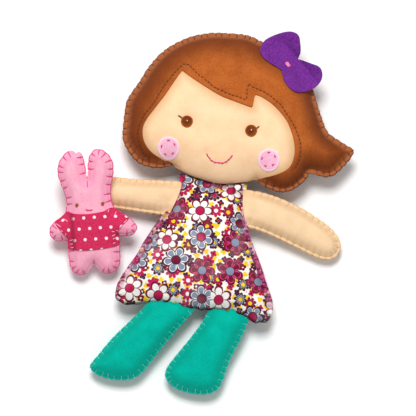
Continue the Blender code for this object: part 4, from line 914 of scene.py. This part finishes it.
def dress_crown(place):
    """The stuffed front: lumps as wide as a thumb, and folds that fan down from the neck, where
    it is a little flatter under the chin."""
    fan = (place[..., 0] - 0.0005) / (0.035 - place[..., 1])
    folds = np.sin(fan * 30.0 + 1.3 * ripple(place, 0.06, 22)) * np.exp((place[..., 1] - 0.002) / 0.022)
    tuck = 1.0 - 0.16 * np.exp(-(((place[..., 1] - 0.002) / 0.010) ** 2))
    return (0.0158 + 0.0006 * ripple(place, 0.024, 23) + 0.0007 * folds) * tuck


dress_frill = 0.0001 + 0.0040 * sides
dress_form = Form(dress_outline, dress_seam, dress_crown, DRESS_SEAM - 0.0019, dress_frill, 0.0185, 0.034)
gathers = np.arange(0.0, dress_form.length, 0.0052)
dress_form.stitches = gathers + 0.0018 * np.sin(gathers * 900)
dress_form.pucker = 0.0009
dress_form.rim = sides


def blossom(place, size, seed, petals, fill, kinds, ground):
    """Prints one flower in each cell of a scattered pattern. Its rim's radius is fill times the
    cell's size, drawn in between petals by the cosine of the turn times petals / 2. kinds are the
    colours of the outline, the petals' margin, their middle and the heart, one of each a flower."""
    moved = (seed * 0.731, seed * 0.377, 0.0)
    spot = place.node("VectorMath", {0: place, 1: moved}, operation="ADD").scaled(1, 1, 0)
    cell = {"Vector": spot, "Scale": 1.0 / size, "Randomness": 0.58}
    chance = spot.node("TexVoronoi", cell, output=1, voronoi_dimensions="2D")
    middle = spot.node("TexVoronoi", cell, output=2, voronoi_dimensions="2D")
    off = spot.node("VectorMath", {0: spot, 1: middle}, operation="SUBTRACT")
    reach = off.node("VectorMath", {0: off}, output=1, operation="LENGTH") * (1.0 / size)
    across, up = (off.node("SeparateXYZ", {0: off}, output=axis) for axis in range(2))
    pick, other = (chance.node("SeparateColor", {0: chance}, output=axis) for axis in range(2))
    outline, margin, inner, heart = (
        pick.node("ValToRGB", {0: pick}, stops=[(0.25 * k, colour[:3]) for k, colour in enumerate(row)])
        for row in kinds
    )
    ridge = (up.math("ARCTAN2", across) * (petals / 2) + other * 6.0).math("COSINE").math("ABSOLUTE")
    reach = reach + (place.noise(size * 0.3, 2.0) - 0.5) * 0.05
    full = (other * 0.2 + 0.86) * fill
    rim = (ridge.math("POWER", 0.6) * 0.46 + 0.54) * full
    line = 0.0016 / size
    petal = ((rim * 0.80 - reach).step(0.0, 0.02) * ridge.step(0.5, 0.62)).tint(margin, inner)
    petal = ridge.step(0.22, 0.12).tint(petal, outline)
    petal = (rim - reach).step(line * 1.3, line).tint(petal, outline)
    petal = reach.step(fill * 0.36, fill * 0.33).tint(petal, outline)
    petal = reach.step(fill * 0.30, fill * 0.26).tint(petal, heart)
    return (rim - reach).step(0.0, 0.012).tint(ground, petal)


WHITE, WINE, CRIMSON = rgb(246, 240, 236), rgb(112, 14, 46), rgb(184, 22, 78)
SLATE, ROSE, HONEY, PLUM = rgb(128, 142, 166), rgb(222, 70, 134), rgb(246, 206, 40), rgb(66, 20, 54)
print_cotton, shader, place = new_finish("print_cotton")
big = [
    (WINE, PLUM, WINE, PLUM), (WHITE, WHITE, ROSE, WHITE), (WHITE, SLATE, WINE, SLATE),
    (CRIMSON, CRIMSON, SLATE, WINE),
]
mid = [
    (WINE, PLUM, CRIMSON, PLUM), (CRIMSON, WHITE, ROSE, WHITE), (CRIMSON, WINE, CRIMSON, SLATE),
    (HONEY, CRIMSON, WHITE, HONEY),
]
tiny = [
    (PLUM, WINE, CRIMSON, PLUM), (PLUM, WINE, CRIMSON, SLATE), (WHITE, ROSE, WHITE, WHITE),
    (PLUM, WHITE, WINE, CRIMSON),
]
bits = [(HONEY, HONEY, HONEY, HONEY)] * 4
colour = blossom(place, 0.0062, 5.0, 3.0, 0.40, bits, WHITE)
colour = blossom(place, 0.0082, 3.0, 4.0, 0.34, tiny, colour)
colour = blossom(place, 0.0132, 1.0, 8.0, 0.42, mid, colour)
colour = blossom(place, 0.0232, 2.0, 6.0, 0.47, big, colour)
weave = place.noise(0.0004, 2.0)
worn = place.noise(0.02, 2.0).step(0.4, 0.8) * 0.14
dress_colour = worn.tint(colour, rgb(232, 214, 214))
near_edge = place.node("Attribute", {}, output=2, attribute_name="inset")
frayed = place.noise(0.0026, 3.0, 0.6).step(0.42, 0.58).tint(rgb(84, 18, 58), rgb(214, 96, 150))
dress_colour = (near_edge.step(4.6, 3.4) * 0.6).tint(dress_colour, frayed)
# Painted shadow: a dark line within about 2 mm of the unstitched hem and neckline, where the dress turns under.
hem_shadow = near_edge.step(60.0, 99.0) * near_edge.step(102.4, 100.5) * 0.75
dress_colour = hem_shadow.tint(dress_colour, rgb(40, 14, 36))
place.tree.links.new(dress_colour.socket, shader.inputs["Base Color"])
shader.inputs["Roughness"].default_value = 0.9
shader.inputs["Specular IOR Level"].default_value = 0.2
bump = place.node("Bump", {"Height": weave, "Strength": 0.3, "Distance": 0.0002})
place.tree.links.new(bump.socket, shader.inputs["Normal"])
dress_spine = spine_of(dress_outline, [(0.0, -16), (-1.0, -50), (-2.5, -72)], 45)
dress = cushion("stuffed_dress", dress_form, dress_spine, print_cotton)
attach(dress, "torso")
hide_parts("dress_front", "dress_back", "torso_stuffing")

# Arms and legs. Each is a felt sleeve sewn edge to edge with blanket stitch, its root caught in
# the dress seam, with the wire joint inside it.
# The arms' and legs' bands are painted shade: darker from the edge to about 8 mm inside it, and a little less dark
# on the flange.
ARM_BANDS = [(5.2, 8.2, rgb(228, 190, 146), 0.7), (3.0, 4.6, rgb(238, 204, 160), 1.0)]
LEG_BANDS = [(5.2, 11.2, rgb(0, 160, 140), 0.7), (2.6, 5.0, rgb(0, 176, 156), 0.9)]
arm_felt = felt("arm_felt", rgb(245, 211, 171), rgb(234, 199, 157), ARM_BANDS, 0.4)
leg_felt = felt("leg_felt", rgb(0, 184, 163), rgb(0, 160, 141), LEG_BANDS, 0.5)
arm_thread = floss("arm_thread", rgb(238, 194, 146), rgb(214, 164, 112))
leg_thread = floss("leg_thread", rgb(112, 216, 202), rgb(52, 190, 172))
LIMBS = {
    "right_arm": [
        (-24.4, -4), (-27.3, -2.6), (-33, -2.8), (-45, -3.6), (-56.9, -4.4), (-68, -4.8), (-80, -4.6), (-92, -5),
        (-101, -8), (-106, -15), (-104.4, -23), (-97.5, -27.8), (-85, -28.8), (-73.3, -28.8), (-63, -29),
        (-53.6, -29.3), (-43, -29.5), (-36, -29.7), (-33.4, -29.8), (-30.6, -28.2), (-28, -22), (-25, -12),
    ],
    "left_arm": [
        (24.6, -4), (27, -2.2), (38, -2.4), (50.1, -4.1), (65, -8.3), (74, -11.6), (83.6, -16), (92, -20.4),
        (98.6, -25.2), (103.2, -31), (104.6, -37), (102.5, -43), (97.5, -46.6), (90.6, -47), (84, -45.4),
        (77.7, -43.4), (70, -40.8), (62.8, -38.4), (54, -35.6), (45.4, -33.2), (37, -31.4), (32.6, -31),
        (29.8, -29), (27, -22), (24.6, -12),
    ],
    "right_leg": [
        (-37.4, -98.4), (-40.2, -102.7), (-49.5, -114.3), (-59.9, -127.3), (-65.4, -135.2), (-70.4, -143.3),
        (-74.3, -149.2), (-76, -153.2), (-73.9, -156.7), (-68.6, -159.6), (-59.6, -161.3), (-50, -161),
        (-42.3, -158.9), (-36.6, -154.9), (-32.4, -148.9), (-27.8, -141.2), (-22.8, -133), (-17, -123.8),
        (-9, -111.8), (-1.6, -100.2), (-4, -96.6), (-10, -94.4), (-22, -94), (-33, -95.4),
    ],
    "left_leg": [
        (12, -95.5), (9.4, -99.3), (4.9, -109.5), (-1.2, -120.7), (-8.4, -132.2), (-14, -141.4),
        (-17, -147.4), (-17.4, -153.3), (-13.6, -158.5), (-6, -162.5), (2.9, -164), (11.9, -164.1),
        (20.1, -161.8), (25.2, -156.9), (27.5, -150), (29.1, -141.7), (30.9, -134.3), (33.6, -126.9),
        (37.5, -115.9), (41, -103.6), (41, -99.6), (37, -96.6), (30, -94.4), (20, -94.2),
    ],
}


def limb_seam(root, bend):
    """The seam's level over a limb: the straight slope from its root joint to its bending one."""
    start, way = root[:2] - NECKLINE, bend[:2] - root[:2]
    reach = np.linalg.norm(way)
    slope = (bend[2] - root[2]) / reach

    def level(place):
        return root[2] + ((place - start) @ (way / reach)) * slope

    return level


for limb, points in LIMBS.items():
    arm = limb.endswith("arm")
    root, bend = (np.array(joint_points[f"{limb}_{name}"]) for name in ("swing", "elbow" if arm else "knee"))
    level = limb_seam(root, bend)
    outline = through(points)
    crown = 0.0064 if arm else 0.0088
    turn = sum(map(ord, limb))


    def fullness(place):
        """The limb's crown, which flattens toward the dress seam that its root is caught in."""
        leave = np.clip(dress_form.nearest(place)[0] / 0.013, 0.0, 1.0)
        return crown * (0.30 + 0.70 * np.sin(leave * math.pi / 2)) + 0.0003 * ripple(place, 0.016, turn)

    form = Form(outline, level, fullness, fullness, 0.0022 if arm else 0.0016, 0.0105 if arm else 0.0140, 0.02)
    places = edge_places(form, 0.045, 0.865 if arm else 0.845, 0.0054 if arm else 0.0052, turn)
    along = form.arc / form.length
    form.free = (along > 0.035) & (along < (0.872 if arm else 0.852))
    form.stitches, form.pull, form.pucker = places, 0.0006, 0.0009
    axis = bend[:2] - root[:2]
    axis = axis / np.linalg.norm(axis)
    tip = bend[:2] - NECKLINE + axis * (0.026 if arm else 0.016)
    if limb == "left_arm":
        tip = np.array([0.0895, -0.0335])
    spine = spine_of(outline, np.array([root[:2] - NECKLINE + axis * 0.004, tip]) * 1000.0, 31)
    sleeve = cushion(f"{limb}_sleeve", form, spine, arm_felt if arm else leg_felt)
    thread, thickness = (arm_thread, 0.00032) if arm else (leg_thread, 0.00042)
    whip = blanket_stitches(f"{limb}_stitches", form, places, 0.0034, thickness, thread, turn, arm)
    ends = [bend - (*axis, 0.0) * np.full(3, 0.009), bend + (*axis, 0.0) * np.full(3, 0.009)]
    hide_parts(*(f"{limb}_{part}" for part in ("front", "back", "upper_stuffing", "lower_stuffing")))
    for piece in (sleeve, *whip):
        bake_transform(piece)

# Toy rabbit, in its own upright frame: pink felt blanket stitched round the edge, a dotted sweater
# layer over both faces, knotted eyes and a stitched mouth. It leans back on the doll's right arm.
RABBIT = [
    (-13.6, 55), (-18.2, 51.3), (-21.8, 46), (-23.2, 40), (-22.7, 34.8), (-20.6, 27), (-18.6, 21.3), (-18, 15.7),
    (-18.6, 9), (-21.6, 4.4), (-26.6, 1.2), (-31.2, -2.6), (-33.1, -7.2), (-31.8, -12), (-28, -14.7),
    (-23.4, -14.6), (-20, -15), (-19.4, -18.8), (-19.3, -24), (-19.1, -31.3), (-18.3, -37.2), (-15.3, -41.4),
    (-10.8, -42.8), (-6.2, -41.2), (-2.8, -37.8), (-0.3, -35.2), (1.9, -37.8), (5, -41.4), (9.9, -43),
    (15.4, -41.4), (19, -37), (20.1, -31.5), (20.3, -23.5), (20.2, -17.6), (20.8, -14), (23.6, -13.8),
    (27.8, -14.2), (32.3, -12.9), (34.8, -9.5), (34.2, -5.8), (30.2, -1.4), (24.3, 3.4), (19.2, 7.2),
    (17, 11.2), (16.3, 17.3), (16.5, 23.8), (18.3, 30.7), (19.7, 37.4), (19.5, 44.4), (16.6, 50.2),
    (12.2, 53.9), (8.3, 54.6), (5, 53.2), (2.4, 49.3), (1.1, 43.9), (0.2, 38), (-0.4, 33.6), (-0.9, 31.6),
    (-1.4, 34), (-1.9, 38.2), (-2.4, 44), (-3.2, 49), (-3.4, 51.8), (-5.8, 54), (-8.3, 53.2), (-10.4, 55),
]
JUMPER = [
    (-18.2, 8), (-14, 6.5), (-8, 5.7), (-1.3, 5.4), (6, 6), (11, 6.7), (17.4, 8.6), (25, 3.3), (29.6, -0.9),
    (25.4, -4.8), (21.6, -8.8), (20.9, -13.6), (20.4, -20.8), (14, -22.2), (6, -23), (-3.2, -23.4), (-11, -23),
    (-19.3, -21.4), (-19.5, -14.6), (-21.4, -11), (-25.3, -5.2), (-28.6, -0.5), (-26.4, 1.8), (-21.6, 5),
]
RABBIT_CENTRE = (-0.0898, -0.0414)
RABBIT_TILT, RABBIT_LEAN = math.radians(14.0), math.radians(11.2)
box_low = [np.array(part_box(name)[0]) for name in ("toy_front", "toy_back")]
box_high = [np.array(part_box(name)[1]) for name in ("toy_front", "toy_back")]
rabbit_level = (box_low[0][2] + box_high[1][2]) / 2 - 0.0062 * math.sin(RABBIT_TILT)
upright = Quaternion((1, 0, 0), RABBIT_TILT) @ Quaternion((0, 0, 1), RABBIT_LEAN)
rabbit_place = Vector((*(NECKLINE + RABBIT_CENTRE), rabbit_level))
rabbit_turn = Matrix.Translation(rabbit_place) @ upright.to_matrix().to_4x4()
rabbit_turn = rabbit_turn @ Matrix.Translation(Vector((*-NECKLINE, 0.0)))
rabbit_outline = through(RABBIT) * 0.985
rabbit = Form(rabbit_outline, 0.0, 0.0062, 0.0062, 0.0012, 0.0095, 0.012)
rabbit_places = edge_places(rabbit, 0.0, 0.978, 0.0064, 4)
FORKS = np.array([(-8.2, 53.2), (-0.9, 31.6), (-0.3, -35.2)]) / 1000.0
from_fork = np.linalg.norm(at_edge(rabbit, rabbit_places)[0][:, None] - FORKS, axis=2).min(axis=1)
rabbit_places = rabbit_places[from_fork > 0.0034]
rabbit.stitches, rabbit.pull, rabbit.pucker = rabbit_places, 0.0004, 0.0004
STATIONS = [
    ((-13.6, 55), (-10.6, 47.5)), ((-22.2, 33), (-10, 30)), ((-19, 22.5), (-3.5, 22.2)), ((-18.2, 18), (0, 18)),
    ((-18.6, 9), (0, 1)), ((-20, 6), (0, -3)), ((-31.2, -2.6), (-26, -7.5)), ((-31.8, -12), (-26, -7.5)),
    ((-20.6, -14.8), (0, -3)), ((-19.4, -18.8), (0, -7)), ((-19.1, -28), (0, -22)), ((-18.3, -37.2), (-10.3, -33)),
    ((-6.2, -41.2), (-10.3, -33)), ((-0.3, -35.2), (0, -22)), ((5, -41.4), (10.3, -33)),
    ((19, -37), (10.3, -33)), ((20.3, -28), (0, -22)), ((20.2, -17.6), (0, -7)), ((21.2, -14), (0, -3)),
    ((32.3, -12.9), (27, -7.5)), ((30.2, -1.4), (27, -7.5)), ((18.4, 8), (0, -3)), ((17, 11.2), (0, 1)),
    ((16.2, 19), (0, 18)), ((16.8, 25), (3.5, 22.4)), ((18, 32.5), (9.5, 30)), ((12.2, 53.9), (9.8, 46.5)),
    ((5, 53.2), (9.8, 46.5)), ((-0.1, 36), (9.5, 30)), ((-0.9, 31.6), (0, 18)), ((-1.5, 36), (-10, 30)),
    ((-5, 52.8), (-10.6, 47.5)),
]
spine = stations(rabbit_outline, STATIONS)

# The rabbit's bands are painted shade inside its stitched edge, a little less dark on the flange.
RABBIT_BANDS = [(5.2, 8.2, rgb(238, 154, 184), 0.7), (3.0, 4.6, rgb(246, 168, 194), 1.0)]
rabbit_felt = felt("rabbit_felt", rgb(248, 182, 200), rgb(238, 156, 182), RABBIT_BANDS, 0.5)
jumper_felt, shader, place = new_finish("jumper_felt")
upright_place = place.node("VectorRotate", {"Vector": place, "Angle": -RABBIT_LEAN}, rotation_type="Z_AXIS")
dotted = 0.0
for shift in (0.0, 0.5):
    parts = [upright_place.node("SeparateXYZ", {0: upright_place}, output=axis) for axis in (0, 1)]
    off = [
        (parts[0] * 122.0 + (shift + 0.42)).math("FRACT") - 0.5,
        (parts[1] * 61.0 + (shift - 0.19)).math("FRACT") * 2.0 - 1.0,
    ]
    dotted = (off[0] * off[0] + off[1] * off[1]).step(0.0265, 0.0165) + dotted
clumps = place.noise(0.0012, 4.0, 0.62)
jumper_colour = clumps.step(0.3, 0.7).tint(rgb(220, 44, 96), rgb(190, 22, 72))
armhole = (Matrix.Rotation(-RABBIT_LEAN, 3, "Z") @ rabbit_place)[0] - 0.0146
# Painted shade: a dark stripe down the sweater where its body meets the sleeve at the armhole.
armhole_shade = (parts[0] - armhole).math("ABSOLUTE").step(0.0030, 0.0002) * 0.75
jumper_colour = armhole_shade.tint(dotted.tint(jumper_colour, rgb(250, 226, 234)), rgb(150, 14, 54))
place.tree.links.new(jumper_colour.socket, shader.inputs["Base Color"])
shader.inputs["Roughness"].default_value = 0.95
bump = place.node("Bump", {"Height": clumps, "Strength": 0.5, "Distance": 0.0004})
place.tree.links.new(bump.socket, shader.inputs["Normal"])
rabbit_thread = floss("rabbit_thread", rgb(240, 92, 150), rgb(222, 66, 130))
brown_thread = floss("brown_thread", rgb(190, 108, 48), rgb(120, 60, 22))
pale_thread = floss("pale_thread", rgb(255, 208, 226), rgb(246, 172, 202))
body = cushion("rabbit_body", rabbit, spine, rabbit_felt)
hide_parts("toy_front", "toy_back", "toy_stuffing")
pieces = [body, *blanket_stitches("rabbit_stitches", rabbit, rabbit_places, 0.0042, 0.00052, rabbit_thread, 14)]

jumper_outline = through(JUMPER) * 0.985
for side, name in ((1, "front"), (-1, "back")):
    middle = spine_of(jumper_outline, [(0.4, 0), (0.4, -14)], 9)
    reach = np.append(np.linspace(0.0, 0.955, 30), [0.97, 0.982, 0.99, 0.995, 0.998, 1.0])
    plan = middle[:, None, :] + (jumper_outline - middle)[:, None, :] * reach[None, :, None]
    inset = np.linalg.norm(jumper_outline - middle, axis=1)[:, None] * (1 - reach)
    lift = 0.0012 * np.sqrt(1.0 - (1.0 - np.clip(inset / 0.0006, 0.0, 1.0)) ** 2)
    level = rabbit.height(plan, side)
    outer = np.concatenate([plan, (level + side * lift)[..., None]], axis=2)
    under = np.concatenate([plan, (level - side * 0.0003)[..., None]], axis=2)[:, ::-3]
    mesh = grid_mesh(f"jumper_{name}", np.concatenate([outer, under], axis=1), True, False)
    layer = finish_piece(f"jumper_{name}", mesh, jumper_felt)
    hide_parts(f"sweater_{name}")
    pieces.append(layer)
TACKS = [
    ((-21.0, 2.7), (-17.5, 0.2)), ((-27.2, -0.9), (-23.0, -3.6)), ((-23.6, -6.2), (-22.1, -7.2)),
    ((-19.8, -8.6), (-20.4, -10.8)),
    ((-17.6, -14.8), (-14.8, -13.9)), ((-17.3, -17.6), (-14.9, -17.2)), ((-17.4, -20.5), (-14.6, -20.0)),
    ((13.7, 5.4), (14.8, 7.6)), ((17.8, 1.2), (20.0, 5.4)), ((28.0, -1.3), (25.2, -3.9)),
    ((24.4, -4.7), (21.6, -7.4)), ((19.4, -8.6), (20.8, -9.8)),
    ((15.7, -9.3), (18.0, -10.0)), ((15.7, -13.2), (18.2, -12.2)), ((15.9, -15.6), (18.2, -14.8)), ((15.8, -19.0), (17.9, -18.6)),
]
tacks = []
for ends in np.array(TACKS) / 1000.0:
    line = ends[0] + (ends[1] - ends[0]) * np.linspace(0.0, 1.0, 8)[:, None]
    lift = 0.0012 + np.array([-0.3, 0.06, 0.14, 0.18, 0.18, 0.14, 0.06, -0.3]) / 1000.0
    tacks.append(np.column_stack([line, rabbit.height(line) + lift]))
way = np.diff(np.array(TACKS), axis=1)
across = np.concatenate([-way[..., 1:], way[..., :1], 0.0 * way[..., :1]], axis=-1)
across = across / np.linalg.norm(way, axis=-1)[..., None]
row = threads("jumper_tacks", np.array(tacks), across, 0.00028, pale_thread)
pieces.append(row)
for side, eye in (("right", (-0.0095, 0.0126)), ("left", (0.0104, 0.0124))):
    turn = np.linspace(0.0, math.pi * 1.7, 30)
    coil = np.array(eye) + 0.0006 * np.column_stack([np.cos(turn), np.sin(turn)])
    knot = np.column_stack([coil, rabbit.height(coil) + 0.0006])[None]
    knot = threads(f"rabbit_{side}_eye", knot, (0.0, 0.0, 1.0), 0.0010, brown_thread)
    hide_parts(f"toy_{side}_eye")
    pieces.append(knot)
grin = np.array([(-3.2, 9.4), (-1.8, 8.4), (0, 8.0), (1.8, 8.3), (3.4, 9.2)]) / 1000.0
steps = np.linspace(0, 4, 30)
grin = np.column_stack([np.interp(steps, range(5), grin[:, axis]) for axis in (0, 1)])
pieces.append(running_stitches("rabbit_mouth", grin, rabbit.height, 0.0030, -0.0002, 0.00052, rose_thread, 3))
for name, fork, reach in (("ears", FORKS[1], -0.0060), ("legs", FORKS[2], 0.0050)):
    tuck = fork + np.array([0.0004, reach]) * np.linspace(-0.05, 1.0, 10)[:, None]
    pieces.append(running_stitches(
        f"rabbit_{name}_tuck", tuck, rabbit.height, abs(reach) * 0.9, 0.01, 0.00042, rabbit_thread, 5,
    ))
for piece in pieces:
    piece.data.transform(rabbit_turn)
    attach(piece, "right_arm_lower")

# Wires: chenille, seen only where a limb leaves the dress
pile, shader, place = new_finish("chenille_pile")
shader.inputs["Base Color"].default_value = rgb(238, 206, 166)
shader.inputs["Roughness"].default_value = 1.0
for node in bpy.data.objects:
    if node.name.endswith(("_wire", "_bar")) and node.type == "MESH":
        node.data.materials.clear()
        node.data.materials.append(pile)

(low, high), (cad_low, cad_high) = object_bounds(), cad_box
